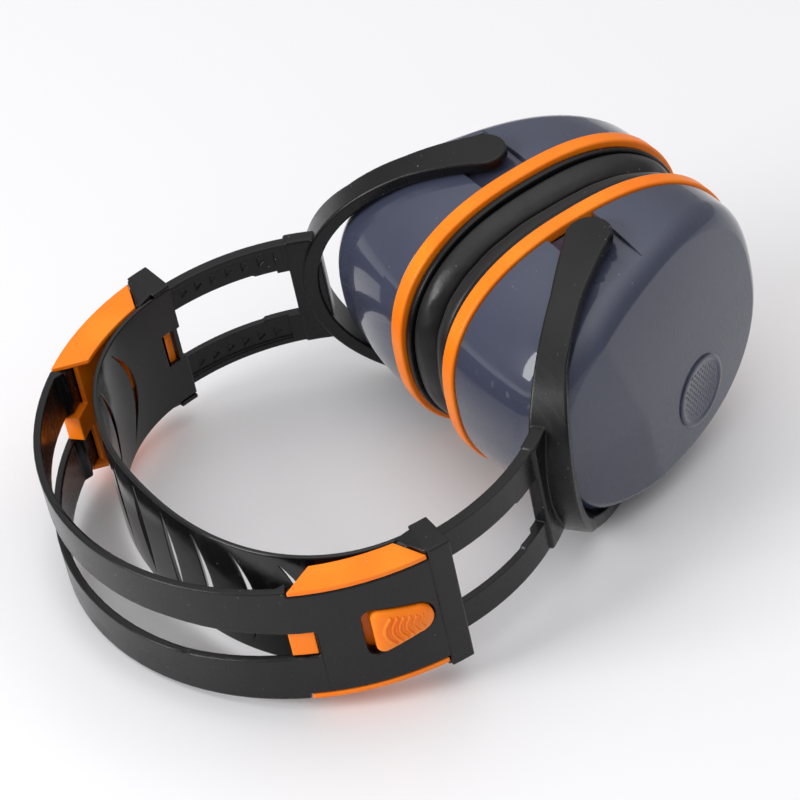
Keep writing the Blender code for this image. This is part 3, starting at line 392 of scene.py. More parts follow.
@contextmanager
def editing(mesh):
    """A mesh as a bmesh, put back at the end of the block."""
    bm = bmesh.new()
    bm.from_mesh(mesh)
    yield bm
    bm.to_mesh(mesh)
    bm.free()


def lofted(bm, loops, around=False):
    """Adds equal closed loops of points with faces from each to the next, and from the last to the first."""
    rings = [[bm.verts.new(spot) for spot in loop] for loop in loops]
    count = len(rings[0])
    for here, after in zip(rings, rings[1:] + (rings[:1] if around else [])):
        for i in range(count):
            j = (i + 1) % count
            bm.faces.new((here[i], here[j], after[j], after[i]))
    return rings


def linked(data, label="helper"):
    """A new object in the scene. A helper is for modifiers to work on, and never reaches the finished scene."""
    made = bpy.data.objects.new(label, data)
    bpy.context.scene.collection.objects.link(made)
    return made


def evaluated_mesh(obj, label):
    """An object's mesh with its modifiers applied. The object itself is removed."""
    graph = bpy.context.evaluated_depsgraph_get()
    graph.update()
    mesh = bpy.data.meshes.new_from_object(obj.evaluated_get(graph), depsgraph=graph)
    mesh.name = label
    bpy.data.objects.remove(obj, do_unlink=True)
    return mesh


def modified(mesh, kind, **settings):
    """A mesh as a modifier with these settings leaves it."""
    worker = linked(mesh)
    step = worker.modifiers.new(kind.lower(), kind)
    for name, value in settings.items():
        setattr(step, name, value)
    return evaluated_mesh(worker, mesh.name)


def smooth_by_angle(mesh, degrees):
    mesh.shade_smooth()
    mesh.set_sharp_from_angle(angle=math.radians(degrees))


# %% Putting a piece in the place of its node
SLOTS = {name: node.data.materials[0].name.split(".")[0] for name, node in frame["nodes"].items()}


def body_of(name):
    return next(body for body, members in frame["record"]["behaviour"]["bodies"].items() if name in members)


def in_place(mesh):
    """Takes a mesh from the band's frame, in millimetres, to where the headband lies."""
    for face in mesh.polygons:
        face.material_index = 0
    mesh.transform(BAND @ Matrix.Scale(MM, 4))
    mesh.update()
    return mesh


def stands_for(name, mesh, label=None):
    """Makes the piece that is shown in a CAD node's stead, and lets it ride on the node's body."""
    label = label or name + "_piece"
    in_place(mesh)
    mesh.name = label
    mesh.materials.clear()
    mesh.materials.append(FINISHES[SLOTS[name]])
    made = linked(mesh, label)
    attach(made, body_of(name))
    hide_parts(name)
    print(made.name, "has", len(made.data.polygons), "faces")
    return made


# %% [markdown]
# ## Rules for true normals
# The band is a piece of a cylinder, cut into facets 3.5 degrees wide. Averaged normals wobble wherever a
# slot or a hole crosses a facet, and a satin surface shows every wobble. But the rule that made each
# surface is known, so its true normal can be worked out at any point and written into the mesh.
#
# A rule takes a point in the band's frame and gives the candidate normals there: the radius for the
# band's arcs, the normal of a flattened oval for the strap, and of the fork's side view for the yoke.


# %% Rules for true normals
def round_rule(spot):
    """The radius about the band's own axis."""
    return [Vector((spot.x, spot.y, 0)).normalized()]


STRAP_HALF_SPAN, STRAP_CROWN, STRAP_POWER, STRAP_THICKNESS = 62.2, 49.6, 2.25, 1.4


def strap_rule(spot):
    """Square to the strap's line, which is part flattened oval and part arc."""
    x, y = abs(spot.x) / STRAP_HALF_SPAN, abs(spot.y) / STRAP_CROWN
    across = math.copysign(x ** (STRAP_POWER - 1) / STRAP_HALF_SPAN, spot.x)
    along = math.copysign(y ** (STRAP_POWER - 1) / STRAP_CROWN, spot.y)
    return [Vector((across, along, 0)).normalized()] + round_rule(spot)


def flat_mesh(name, flat_within=0.4):
    """A CAD node's mesh in the band's frame and in millimetres, merged, with its flat faces whole again."""
    bm = bmesh.new()
    bm.from_mesh(frame["nodes"][name].data)
    bmesh.ops.transform(bm, matrix=Matrix.Scale(1 / MM, 4) @ FLAT, verts=bm.verts)
    bmesh.ops.remove_doubles(bm, verts=bm.verts, dist=0.005)
    if flat_within:
        inner = [edge for edge in bm.edges if not all(abs(face.normal.z) > 0.99 for face in edge.link_faces)]
        bmesh.ops.dissolve_limit(bm, angle_limit=math.radians(flat_within), verts=[], edges=inner)
    return written(bm, name + "_flat")


def two_materials(mesh):
    """Empty slots for the faces that follow a rule, index 0, and for those of a rounding, index 1."""
    mesh.materials.clear()
    for _ in range(2):
        mesh.materials.append(None)
    return mesh


def surface_of(mesh):
    """A mesh as a tree that can be asked for its nearest point."""
    return BVHTree.FromPolygons([vertex.co for vertex in mesh.vertices], [tuple(f.vertices) for f in mesh.polygons])


def softened(mesh, width, segments=3, degrees=34):
    """Rounds every edge sharper than an angle. The new faces get material index 1, to tell them by."""
    before = surface_of(two_materials(mesh))
    rounded = modified(
        mesh, "BEVEL", width=width, segments=segments, limit_method="ANGLE", angle_limit=math.radians(degrees),
        use_clamp_overlap=False, miter_outer="MITER_ARC", material=1,
    )
    # Where short edges meet, a rounding can shoot past its corner. Such a point goes back to the surface.
    for vertex in rounded.vertices:
        nearest, _, _, distance = before.find_nearest(vertex.co)
        if distance > 0.55 * width:
            vertex.co = nearest
    return rounded


def true_normals(mesh, rules, degrees=5):
    """Writes a normal to each corner: by rule on ruled faces, flat on flat ones, and the neighbouring
    face's on the edge of a rounding, so that a rounding meets its two faces with no visible line."""
    close = math.cos(math.radians(degrees))
    ruled, around = {}, {}
    for face in mesh.polygons:
        if face.material_index == 1:
            continue
        for index in face.vertices:
            best, nearest = face.normal.copy(), close
            for normal in [normal for rule in rules for normal in rule(mesh.vertices[index].co)]:
                match = normal.dot(face.normal)
                if abs(match) > nearest:
                    best, nearest = normal * math.copysign(1, match), abs(match)
            ruled[face.index, index] = best
    for (_, index), normal in ruled.items():
        around.setdefault(index, []).append(normal)
    corners = []
    for face in mesh.polygons:
        for index in face.vertices:
            own = ruled.get((face.index, index))
            if own is None:
                nearby = [normal for normal in around.get(index, []) if normal.dot(face.normal) > 0.5]
                own = max(nearby, key=lambda n: n.dot(face.normal)) if nearby else Vector((0, 0, 0))
            corners.append(tuple(own))
    mesh.shade_smooth()
    mesh.normals_split_custom_set(corners)


# %% [markdown]
# ## Tools for pieces that bend round the band
# The strap, the button and the yoke's rails are all drawn on the band's cylinder. They are easiest to draw
# as rungs, each a pair of points given by angle and height, that are then carried out to two radii.


# %% Shapes on the band's cylinder
CROWN_ANGLE = -90.0


def polar(radius, angle, side=1):
    """A point round the band, or an angle's cosine and sine at radius 1."""
    turn = math.radians(angle)
    return side * radius * math.cos(turn), radius * math.sin(turn)


def spread(start, end, step):
    """Values from start to end, no further apart than a step."""
    count = max(1, math.ceil(abs(end - start) / step - 1e-9))
    return [start + (end - start) * i / count for i in range(count + 1)]


def shell_of(loops, label):
    """Skins a list of equal closed loops of points, and caps the first and the last."""
    bm = bmesh.new()
    rings = lofted(bm, loops)
    for end in (rings[0], rings[-1]):
        bm.faces.new(end)
    return two_materials(mesh_from(bm, label))


def ribbon(rungs, inner, outer, side=1):
    """A block on the cylinder between two radii. Each rung is two (angle, height) points."""
    loops = []
    for first, second in rungs:
        corners = ((inner, first), (outer, first), (outer, second), (inner, second))
        loops.append([(*polar(radius, angle, side), z) for radius, (angle, z) in corners])
    return shell_of(loops, "ribbon")


def sector(inner, outer, start, end, low, high, side=1):
    """A block between two radii, two angles and two heights."""
    return ribbon([((angle, low), (angle, high)) for angle in spread(start, end, 2.0)], inner, outer, side)


# %% Cutting, joining and turning meshes
def combined(mesh, others, operation):
    """A mesh with others cut from it or joined to it."""
    worker = linked(mesh)
    helpers = [linked(other) for other in others]
    for helper in helpers:
        step = worker.modifiers.new(operation.lower(), "BOOLEAN")
        step.operation, step.solver, step.object = operation, "EXACT", helper
    made = evaluated_mesh(worker, mesh.name)
    for helper in helpers:
        bpy.data.objects.remove(helper, do_unlink=True)
    return made


def joined_meshes(meshes, label):
    """Several closed meshes in one."""
    bm = bmesh.new()
    for mesh in meshes:
        bm.from_mesh(mesh)
    made = two_materials(bpy.data.meshes.new(label))
    bm.to_mesh(made)
    bm.free()
    return made


def faced_out(mesh):
    """Merges doubles and turns the faces outwards."""
    with editing(mesh) as bm:
        bmesh.ops.remove_doubles(bm, verts=bm.verts, dist=0.001)
        bmesh.ops.recalc_face_normals(bm, faces=bm.faces)
    return mesh


def filled(mesh):
    """Closes the pinholes that a cut can leave where it crosses a rounded edge."""
    with editing(mesh) as bm:
        bmesh.ops.holes_fill(bm, edges=[edge for edge in bm.edges if edge.is_boundary], sides=0)
    return mesh


# %% [markdown]
# ## Headband and guides
# These pieces are moulded to one arc and keep their solids' shapes. Each gets its edges rounded as a real
# mould rounds them, more on the thick band than on the guides, and then its true normals. The moulding
# also fills the corner between a guide and its collar with one smooth shoulder.

# %% Headband and guides
# A shoulder's outline as (angle, radius), then each corner's height under and at the collar's edge.
SHOULDER_OUTLINE = ((-7.6, 62.3), (-12.1, 62.3), (-8.3, 71.6), (-7.6, 71.6))
SHOULDER_FOOT = (19.0, 18.9, 19.0, 19.0)
SHOULDER_TIP = 19.6
UNDER_COLLAR = 0.05
EDGE_ROUNDINGS = {"outer_band": 0.5, "right_slide_guide": 0.25, "left_slide_guide": 0.25}


def collar_shoulders(mesh):
    """Adds a shoulder, up to the collar's height, at both edges of each side of the band."""
    high = max(vertex.co.z for vertex in mesh.vertices) - UNDER_COLLAR
    fills = []
    for side in SIDES.values():
        for up in (1, -1):
            loops = [
                [(*polar(radius, angle, side), z * up) for (angle, radius), z in zip(SHOULDER_OUTLINE, heights)]
                for heights in (SHOULDER_FOOT, (high, SHOULDER_TIP, high, high))
            ]
            fills.append(softened(shell_of(loops, "shoulder"), 0.45))
    return joined_meshes([mesh] + fills, "band")


for name, width in EDGE_ROUNDINGS.items():
    mesh = softened(flat_mesh(name), width)
    if name == "outer_band":
        mesh = collar_shoulders(mesh)
    true_normals(mesh, [round_rule])
    stands_for(name, mesh)

# %% [markdown]
# ## Inner strap
# The strap is a thin polished ribbon that bears on the head. Its line is a flattened oval over the crown
# and the band's own arc in the sleeves, so one section with rounded edges is carried along that line.
# Ten bowed vents, a window and a step at each end are then cut straight through it.

# %% Inner strap
STRAP_HALF_HEIGHT = flat_box("inner_strap")[1].z
STRAP_END_ANGLE = -2.7
STRAP_ROUND = 0.5
VENT_HALF_ANGLES = (1.8, 1.2, 0.75, 0.8, 0.8)
VENT_PITCH, VENT_BOW, VENT_HALF_HEIGHT = 14.0, 6.5, 16.0
VENT_LEAN = math.tan(math.radians(30))
STRAP_WINDOW = (-8.4, -4.8, -5.6, 5.6)
STRAP_STEP = (((-3.6, -5.1), (-3.6, 5.1)), ((-1.7, -5.6), (-1.7, 5.6)))
CUT_RADII = (50, 65)


def strap_line(angle):
    """The middle of the strap at an angle round the band."""
    x, y = polar(1, angle)
    share = (abs(x) / STRAP_HALF_SPAN) ** STRAP_POWER + (abs(y) / STRAP_CROWN) ** STRAP_POWER
    return Vector((x, y, 0)) * min(share ** (-1 / STRAP_POWER), STRAP_HALF_SPAN)


def strap_section():
    """Half the strap's thickness by its height, with rounded edges, as (outwards, up)."""
    spots = []
    for right, up in ((1, 1), (-1, 1), (-1, -1), (1, -1)):
        for turn in (0, 30, 60, 90) if right * up > 0 else (90, 60, 30, 0):
            c, s = polar(1, turn)
            out = STRAP_THICKNESS / 2 - STRAP_ROUND * (1 - c)
            spots.append((right * out, up * (STRAP_HALF_HEIGHT - STRAP_ROUND * (1 - s))))
    return spots


def strap_blank():
    loops = []
    for angle in spread(STRAP_END_ANGLE, 2 * CROWN_ANGLE - STRAP_END_ANGLE, 1.4):
        along = strap_line(angle + 0.3) - strap_line(angle - 0.3)
        outward = along.cross(Vector((0, 0, 1))).normalized()
        outward *= math.copysign(1, outward.dot(strap_line(angle)))
        loops.append([strap_line(angle) + outward * out + Vector((0, 0, up)) for out, up in strap_section()])
    mesh = shell_of(loops, "strap")
    for face in mesh.polygons:
        face.material_index = 1 if 0.02 < abs(face.normal.z) < 0.98 else 0
    return mesh


def vent(index, side):
    """A bowed cut, pointed at both ends. It bows and leans away from the crown, as the mould draws it."""
    from_crown = VENT_PITCH * (index + 0.5)
    bow = VENT_BOW * math.sin(math.radians(from_crown))
    loops = []
    for share in spread(-1, 1, 0.1):
        middle = CROWN_ANGLE + from_crown + bow * (1 - share**2)
        half = VENT_HALF_ANGLES[index] * max(0.06, 1 - share**2)
        radius = strap_line(middle).length
        loop = []
        for out, across in ((-4, -half), (4, -half), (4, half), (-4, half)):
            lean = math.degrees(VENT_LEAN * out / radius)
            loop.append((*polar(radius + out, middle + across + lean, side), VENT_HALF_HEIGHT * share))
        loops.append(loop)
    return shell_of(loops, "vent")


def strap_cuts(side):
    vents = [vent(index, side) for index in range(len(VENT_HALF_ANGLES))]
    return vents + [sector(*CUT_RADII, *STRAP_WINDOW, side), ribbon(STRAP_STEP, *CUT_RADII, side)]


STRAP = combined(strap_blank(), [cut for side in SIDES.values() for cut in strap_cuts(side)], "DIFFERENCE")
true_normals(STRAP, [strap_rule], degrees=4)
stands_for("inner_strap", STRAP)

# %% [markdown]
# ## Lock buttons
# A thumb button in each sleeve carries a hooked bar, the pawl, that drops into the yoke's notches. Its
# cap is a low dome with the outline of a shield, and six nested bows stop the thumb from slipping. The
# dome is a stack of outlines, each a little smaller and higher, and the bows are a rule: Geometry Nodes
# sweeps one bow and repeats it, each a little shorter than the last. The piece is drawn flat and then
# bent round the band.


# %% Tools for trees of geometry
def geometry_tree(name, inputs):
    """A geometry tree with named inputs, the last of them its material."""
    return new_tree(name, "Geometry", {**inputs, "Material": "Material"}, {"Geometry": "Geometry"})


def close_tree(tree, given, result, geometry):
    """Ends a tree: real meshes instead of instances, and the material on them."""
    real = output_of(tree, "GeometryNodeRealizeInstances", {"Geometry": geometry})
    painted = output_of(tree, "GeometryNodeSetMaterial", {"Geometry": real, "Material": given["Material"]})
    tree.links.new(painted, result[0])
    print("tree:", tree.name, "with", len(tree.nodes), "nodes")
    return tree


def grown(tree, slot, **values):
    """Runs a tree with these inputs and returns its plain mesh."""
    worker = linked(bpy.data.meshes.new(tree.name))
    step = worker.modifiers.new("tree", "NODES")
    step.node_group = tree
    known = {item.name: item.identifier for item in tree.interface.items_tree if item.in_out == "INPUT"}
    for name, value in {"Material": FINISHES[slot], **values}.items():
        step[known[name.replace("_", " ")]] = value
    return evaluated_mesh(worker, tree.name)


# %% Bows of the thumb grip
def thumb_bows_tree():
    inputs = {"Count": 5, "First": 3.4, "Pitch": 2.3, "Half Height": 5.0, "Bow": 2.2}
    tree, given, result = geometry_tree("thumb_bows", {**inputs, "Thickness": 0.5, "Shortening": 0.14})
    half, bow = given["Half Height"], given["Bow"]
    low = xyz(tree, bow, maths(tree, "MULTIPLY", half, -1.0))
    peak = xyz(tree, maths(tree, "MULTIPLY", bow, -1.0))
    spots = {"Start": low, "Middle": peak, "End": xyz(tree, bow, half)}
    line = output_of(tree, "GeometryNodeCurveQuadraticBezier", {"Resolution": 14, **spots})
    section = output_of(tree, "GeometryNodeCurvePrimitiveCircle", {"Resolution": 10, "Radius": given["Thickness"]})
    swept = output_of(tree, "GeometryNodeCurveToMesh", {"Curve": line, "Profile Curve": section, "Fill Caps": True})
    row = {"Count": given["Count"], "Start Location": xyz(tree, given["First"]), "Offset": xyz(tree, given["Pitch"])}
    places = output_of(tree, "GeometryNodeMeshLine", row)
    index = output_of(tree, "GeometryNodeInputIndex")
    left = maths(tree, "SUBTRACT", 1.0, maths(tree, "MULTIPLY", index, given["Shortening"]))
    placing = {"Points": places, "Instance": swept, "Scale": xyz(tree, left, left, 1.0)}
    return close_tree(tree, given, result, output_of(tree, "GeometryNodeInstanceOnPoints", placing))


BOWS = thumb_bows_tree()

# %% Lock buttons
BAND_RADIUS = 72.0
DEGREE = BAND_RADIUS * math.radians(1)
CAP_START, CAP_END = -22.6, -8.9
CAP_HALF_START, CAP_HALF_END = 7.42, 5.0
CAP_CORNER, CAP_GAP = 2.6, 0.48
DOME = ((0.0, -3.6), (0.0, 0.35), (0.12, 0.62), (0.4, 0.88), (0.9, 1.1), (1.8, 1.28), (2.6, 1.34))
BOW_HEIGHT = 1.3
# Each as two radii, two angles and two heights.
STEM = (63.3, 69.0, -19.6, -13.2, -4.0, 4.0)
SPINE = (63.14, 63.94, -18.6, -6.0, -3.5, 3.5)
PAWL = (63.14, 63.94, -8.2, -5.0, -15.0, 15.0)


def shield(shrink):
    """The cap's outline as rungs of (distance along, half height): round corners, then a round nose."""
    start, end = shrink, (CAP_END - CAP_START) * DEGREE - shrink
    half_start, half_end = CAP_HALF_START - shrink, CAP_HALF_END - shrink
    corner = max(0.3, CAP_CORNER - 0.5 * shrink)
    rungs = []
    for turn in spread(0, 90, 15):
        c, s = polar(1, turn)
        rungs.append((start + corner * (1 - c), half_start - corner * (1 - s)))
    flank = end - half_end - start - corner
    for share in (0.25, 0.5, 0.75):
        rungs.append((start + corner + flank * share, half_start + (half_end - half_start) * share))
    for turn in spread(90, 6, 10.5):
        c, s = polar(1, turn)
        rungs.append((end - half_end * (1 - c), half_end * s))
    return rungs


def bent(spots, side):
    """Takes flat (along, up, height over the band) points round the band's cylinder."""
    return [(*polar(BAND_RADIUS + out, CAP_START + along / DEGREE, side), up) for along, up, out in spots]


def button_cap(side):
    outlines = []
    for shrink, out in DOME:
        rungs = shield(CAP_GAP + shrink)
        outline = [(along, half, out) for along, half in rungs]
        outlines.append(bent(outline + [(along, -half, out) for along, half in reversed(rungs)], side))
    bm = bmesh.new()
    rings = lofted(bm, outlines)
    count = len(rings[0])
    for ring in (rings[0], rings[-1]):
        for i in range(count // 2 - 1):
            bm.faces.new((ring[i], ring[i + 1], ring[count - 2 - i], ring[count - 1 - i]))
    return mesh_from(bm, "cap")


def thumb_bows(side):
    shape = {"Count": 6, "First": 3.3, "Pitch": 1.85, "Half_Height": 4.7, "Thickness": 0.5, "Shortening": 0.11}
    bows = grown(BOWS, "orange_plastic", **shape)
    spots = [(vertex.co.x, vertex.co.y, BOW_HEIGHT + BOW_HEIGHT * vertex.co.z) for vertex in bows.vertices]
    for vertex, spot in zip(bows.vertices, bent(spots, side)):
        vertex.co = spot
    return bows


def lock_button(side):
    """The cap with its bows, the stem between the rails, and the pawl behind them."""
    inside = [sector(*STEM, side), sector(*SPINE, side), softened(sector(*PAWL, side), 0.2)]
    mesh = faced_out(joined_meshes([button_cap(side), thumb_bows(side)] + inside, "lock_button"))
    smooth_by_angle(mesh, 42)
    return mesh


for hand, side in SIDES.items():
    stands_for(hand + "_lock_button", lock_button(side))

# %% [markdown]
# ## Yokes
# A yoke is one moulding: two rails that slide in the sleeve, a crossbar, and a fork that reaches round
# the cup and ends in two pins. The fork is a flattened oval seen from the side and a tapered bar seen
# from above, so it is the common part of two extruded outlines. Each member has its edges rounded before
# they are joined, because roundings made after a join fight at the corners.

# %% Fork
FORK_ANGLE, FORK_LENGTH, FORK_HALF_HEIGHT, FORK_POWER = -53.5, 55.73, 40.8, 2.06
FORK_BACK, FORK_TIP = 4.5, 3.5
TIP_RADIUS = 6.2
ARM_HALF, BACK_FLARE, FORK_TAPER = 4.3, 3.6, 22.0
UNCUT_HALF = 11  # half the breadth of the bar that the plan is cut from
FORWARD = Vector((*polar(1, FORK_ANGLE), 0))
SIDEWAYS = Vector((-FORWARD.y, FORWARD.x, 0))
FORK_OVALS = ((FORK_LENGTH, FORK_HALF_HEIGHT), (FORK_LENGTH - FORK_BACK, FORK_HALF_HEIGHT - FORK_TIP))


def fork_outline(length, half_height):
    """Half an oval, run on straight past the pivot, as (along the fork, height)."""
    quarter = []
    for turn in spread(0, 90, 3.0):
        c, s = polar(1, turn)
        quarter.append((length * abs(c) ** (2 / FORK_POWER), half_height * s ** (2 / FORK_POWER)))
    quarter[-1] = (0.0, half_height)
    quarter.append((-TIP_RADIUS - 0.5, half_height))
    return [(along, -height) for along, height in reversed(quarter[1:])] + quarter


def fork_plan():
    """The fork seen from above, as (along the fork, across it): a round tip, a waist and a flared back."""
    tip = [polar(TIP_RADIUS, turn) for turn in spread(90, 270, 10)]
    end, middle = FORK_LENGTH + 0.5, (FORK_TAPER + FORK_LENGTH) / 2
    far = [(FORK_TAPER, -ARM_HALF), (end, -ARM_HALF), (end, ARM_HALF + BACK_FLARE)]
    return tip + far + [(middle, ARM_HALF), (FORK_TAPER, ARM_HALF)]


def from_fork(side, along, across, up):
    spot = Vector((PIVOT.x, PIVOT.y, 0)) + FORWARD * along + SIDEWAYS * across
    return (side * spot.x, spot.y, up)


def fork(side):
    loops = []
    for (a, z), (b, w) in zip(*(fork_outline(*oval) for oval in FORK_OVALS)):
        corners = ((a, -UNCUT_HALF, z), (a, UNCUT_HALF, z), (b, UNCUT_HALF, w), (b, -UNCUT_HALF, w))
        loops.append([from_fork(side, *corner) for corner in corners])
    high = FORK_HALF_HEIGHT + 1
    plans = [[from_fork(side, along, across, z) for along, across in fork_plan()] for z in (-high, high)]
    return softened(combined(shell_of(loops, "fork"), [shell_of(plans, "trim")], "INTERSECT"), 0.7)


def fork_rule(side):
    """Square to the fork's outer and inner ovals, and to the round tips and pins."""
    forward = Vector((side * FORWARD.x, FORWARD.y, 0))

    def rule(spot):
        away = Vector((side * spot.x - PIVOT.x, spot.y - PIVOT.y, 0))
        along = max(0, away.dot(FORWARD))
        found = [Vector((side * away.x, away.y, 0)).normalized()]
        for length, height in FORK_OVALS:
            run = (along / length) ** (FORK_POWER - 1) / length
            rise = math.copysign((abs(spot.z) / height) ** (FORK_POWER - 1) / height, spot.z)
            found.append((forward * run + Vector((0, 0, rise))).normalized())
        return found

    return rule


# %% Pins
PIN_RADIUS, PIN_FROM, PIN_TO = 2.6, 31.8, 37.8


def pivot_rod(side, radius, low, high):
    """A cylinder on the cup's pivot axis, between two heights."""
    bm = bmesh.new()
    spot = Matrix.Translation((side * abs(PIVOT.x), PIVOT.y, (low + high) / 2))
    size = {"radius1": radius, "radius2": radius, "depth": abs(high - low)}
    bmesh.ops.create_cone(bm, cap_ends=True, segments=48, matrix=spot, **size)
    return mesh_from(bm, "rod")


# %% Rails and crossbar
RAIL_INNER, RAIL_OUTER = 63.2, 66.2
RAIL_LOW, RAIL_HIGH = 8.0, 17.6
RAIL_FROM, SHOULDER, TRACK_TO, RAIL_TO = -14.0, 19.63, 25.63, 30.63
TRACK_LOW, TRACK_HIGH, TRACK_DEPTH = RAIL_LOW - 0.5, RAIL_HIGH - 1.6, 1.05
NOTCHES, NOTCH_PITCH, NOTCH_LENGTH = 8, 4.1, 1.7
CROSSBAR = (RAIL_INNER - 0.3, RAIL_INNER + 3.9, RAIL_TO - 2, 37.13, -18.2, 18.2)


def rail(side, up):
    """A rail with its shoulder, the track along its inner face, and the track's row of shallow notches."""
    gap = [(angle, RAIL_LOW + 0.6) for angle in spread(RAIL_FROM, SHOULDER, 2.5)]
    gap += [(angle, RAIL_LOW) for angle in spread(SHOULDER + 0.5, RAIL_TO, 2.5)]
    blank = ribbon([((a, up * z), (a, up * RAIL_HIGH)) for a, z in gap], RAIL_INNER, RAIL_OUTER, side)
    rungs = [((a, up * TRACK_LOW), (a, up * TRACK_HIGH)) for a in spread(RAIL_FROM - 1, TRACK_TO, 2.5)]
    track = ribbon(rungs, RAIL_INNER - 0.5, RAIL_INNER + TRACK_DEPTH, side)
    blank = softened(combined(blank, [track], "DIFFERENCE"), 0.25, segments=2)
    middle = (RAIL_LOW + RAIL_HIGH) / 2
    notches = []
    for index in range(NOTCHES):
        start = TRACK_TO - NOTCH_PITCH * (index + 1)
        ends = ((start, 1.6), (start + NOTCH_LENGTH, 0.16))
        rungs = [((a, up * (middle - half)), (a, up * (middle + half))) for a, half in ends]
        notches.append(ribbon(rungs, RAIL_INNER + 0.5, RAIL_INNER + 1.4, side))
    return combined(blank, notches, "DIFFERENCE")


def yoke(side):
    members = [softened(sector(*CROSSBAR, side), 0.8)] + [rail(side, up) for up in (1, -1)]
    members += [two_materials(pivot_rod(side, PIN_RADIUS, up * PIN_FROM, up * PIN_TO)) for up in (1, -1)]
    made = filled(combined(fork(side), members, "UNION"))
    true_normals(made, [round_rule, fork_rule(side)])
    return made


for hand, side in SIDES.items():
    stands_for(hand + "_yoke", yoke(side))

# %% [markdown]
# ## Ear cups
# A cup is a deep bowl moulded in glossy slate. Its wall leans in with a slight bow, turns over a rounded
# edge that is wide towards the headband and tight at the other end, and meets a slanting, gently domed
# end face at a soft crease. On polished plastic a reflection shows each of these, so the bowl is drawn
# from its rule with fine rows: one column of points climbs the wall, rounds the edge and crosses the face,
# and 160 columns stand round a superellipse.
#
# A subdivided cage would need its creases pinned by hand. The rule gives them for nothing, and it is
# the same rule that made the solid, so the fork's pins still meet their bores.

# %% Cup sizes
CUP_POWER, CUP_WALL, CUP_DEPTH, CUP_SLANT = 2.4, 2.8, 28.2, 0.376
WALL_BOW = 120.0
EDGE_RADIUS, EDGE_RADIUS_CROWN = 5.2, 10.0
EDGE_LEANS = 2.6  # softer by this much at the top of the band's height, and tighter at the bottom
EDGE_STOPS_AT = 70.0
FACE_DOME = 1.7
FACET_FROM = ((-34, -6), (-20, -7.5), (-6, -9.2), (0, -11.2), (8.5, -13.9), (20, -17), (34, -20))
FACET_SLOPE, FACET_BLEND = 0.2, 0.45
CUP_SIDES, EDGE_ROWS, FACE_ROWS = 160, 12, 40
POCKET_DEPTH, POCKET_HALF, POCKET_REACH, POCKET_CORNER = 2.3, 7.4, 15.5, 2.2
FIT = 0.3


# %% The cup's rule
def oval_points(half_length, half_width, sides=CUP_SIDES):
    """Points round a superellipse, as (along Y, along Z)."""
    points = []
    for i in range(sides):
        turn = 2 * math.pi * (i + 0.5) / sides
        c, s = math.cos(turn), math.sin(turn)
        y = half_length * math.copysign(abs(c) ** (2 / CUP_POWER), c)
        points.append((y, half_width * math.copysign(abs(s) ** (2 / CUP_POWER), s)))
    return points


def facet_drop(y, z):
    """How far the end falls below its plane, where it slopes off towards the crown past a soft crease."""
    for (low, first), (high, second) in zip(FACET_FROM, FACET_FROM[1:]):
        if z <= high or high == FACET_FROM[-1][0]:
            crease = first + (second - first) * (z - low) / (high - low)
            break
    past = crease - y
    return FACET_SLOPE * (past + math.hypot(past, FACET_BLEND)) / 2


def cup_column(y, z, inset):
    """One column of the bowl, as (height over the rim, y, z), from the rim to near the face's middle."""
    size = math.hypot(y, z)
    towards_crown = (1 - y / RIM_HALF_LENGTH) / 2
    radius = EDGE_RADIUS + (EDGE_RADIUS_CROWN - EDGE_RADIUS) * towards_crown**3 - inset
    radius = max(0.6, radius + EDGE_LEANS * z / RIM_HALF_WIDTH)

    def inwards(distance):
        left = 1 - distance / size
        return left * y, left * z

    def plane(at_y, at_z):
        return CUP_DEPTH - inset - CUP_SLANT * at_y - facet_drop(at_y, at_z)

    top = 0.0
    for _ in range(8):
        top = plane(*inwards(top**2 / (2 * WALL_BOW))) - radius
    spots = []
    for step in range(EDGE_ROWS + 1):
        height = top * step / EDGE_ROWS
        spots.append((height, *inwards(height**2 / (2 * WALL_BOW))))
    # A row close to each side of the crease keeps it crisp.
    for step in (*range(1, EDGE_ROWS), EDGE_ROWS - 0.25, EDGE_ROWS):
        c, s = polar(1, EDGE_STOPS_AT * step / EDGE_ROWS)
        edge_y, edge_z = inwards(top**2 / (2 * WALL_BOW) + radius * (1 - c))
        drop = radius * (1 - s)
        spots.append((plane(edge_y, edge_z) - drop, edge_y, edge_z))
    for step in (0.15, *range(1, FACE_ROWS)):
        row = 1 - step / FACE_ROWS
        height = plane(edge_y * row, edge_z * row) - drop * row**2 + FACE_DOME * (1 - row**2)
        spots.append((height, edge_y * row, edge_z * row))
    return spots


def bowl(label, side, inset, mouth=0.0, closed=True):
    """A bowl this far inside the cup's surface. A hollow's mouth reaches below the rim."""
    columns = [cup_column(y, z, inset) for y, z in oval_points(RIM_HALF_LENGTH - inset, RIM_HALF_WIDTH - inset)]
    loops = list(zip(*columns))
    if mouth:
        loops.insert(0, [(-mouth, y, z) for _, y, z in loops[0]])
    bm = bmesh.new()
    rings = lofted(bm, [[(side * (RIM_X + x), CUP_Y + y, z) for x, y, z in loop] for loop in loops])
    if closed:
        bm.faces.new(rings[0])
    peak_x = RIM_X + CUP_DEPTH - inset + FACE_DOME - facet_drop(0, 0)
    peak = bm.verts.new((side * peak_x, CUP_Y, 0))
    for here, after in zip(rings[-1], rings[-1][1:] + rings[-1][:1]):
        bm.faces.new((here, after, peak))
    return mesh_from(bm, label)


print("rows up a cup:", len(cup_column(1.0, 30.0, 0.0)), "columns:", CUP_SIDES)


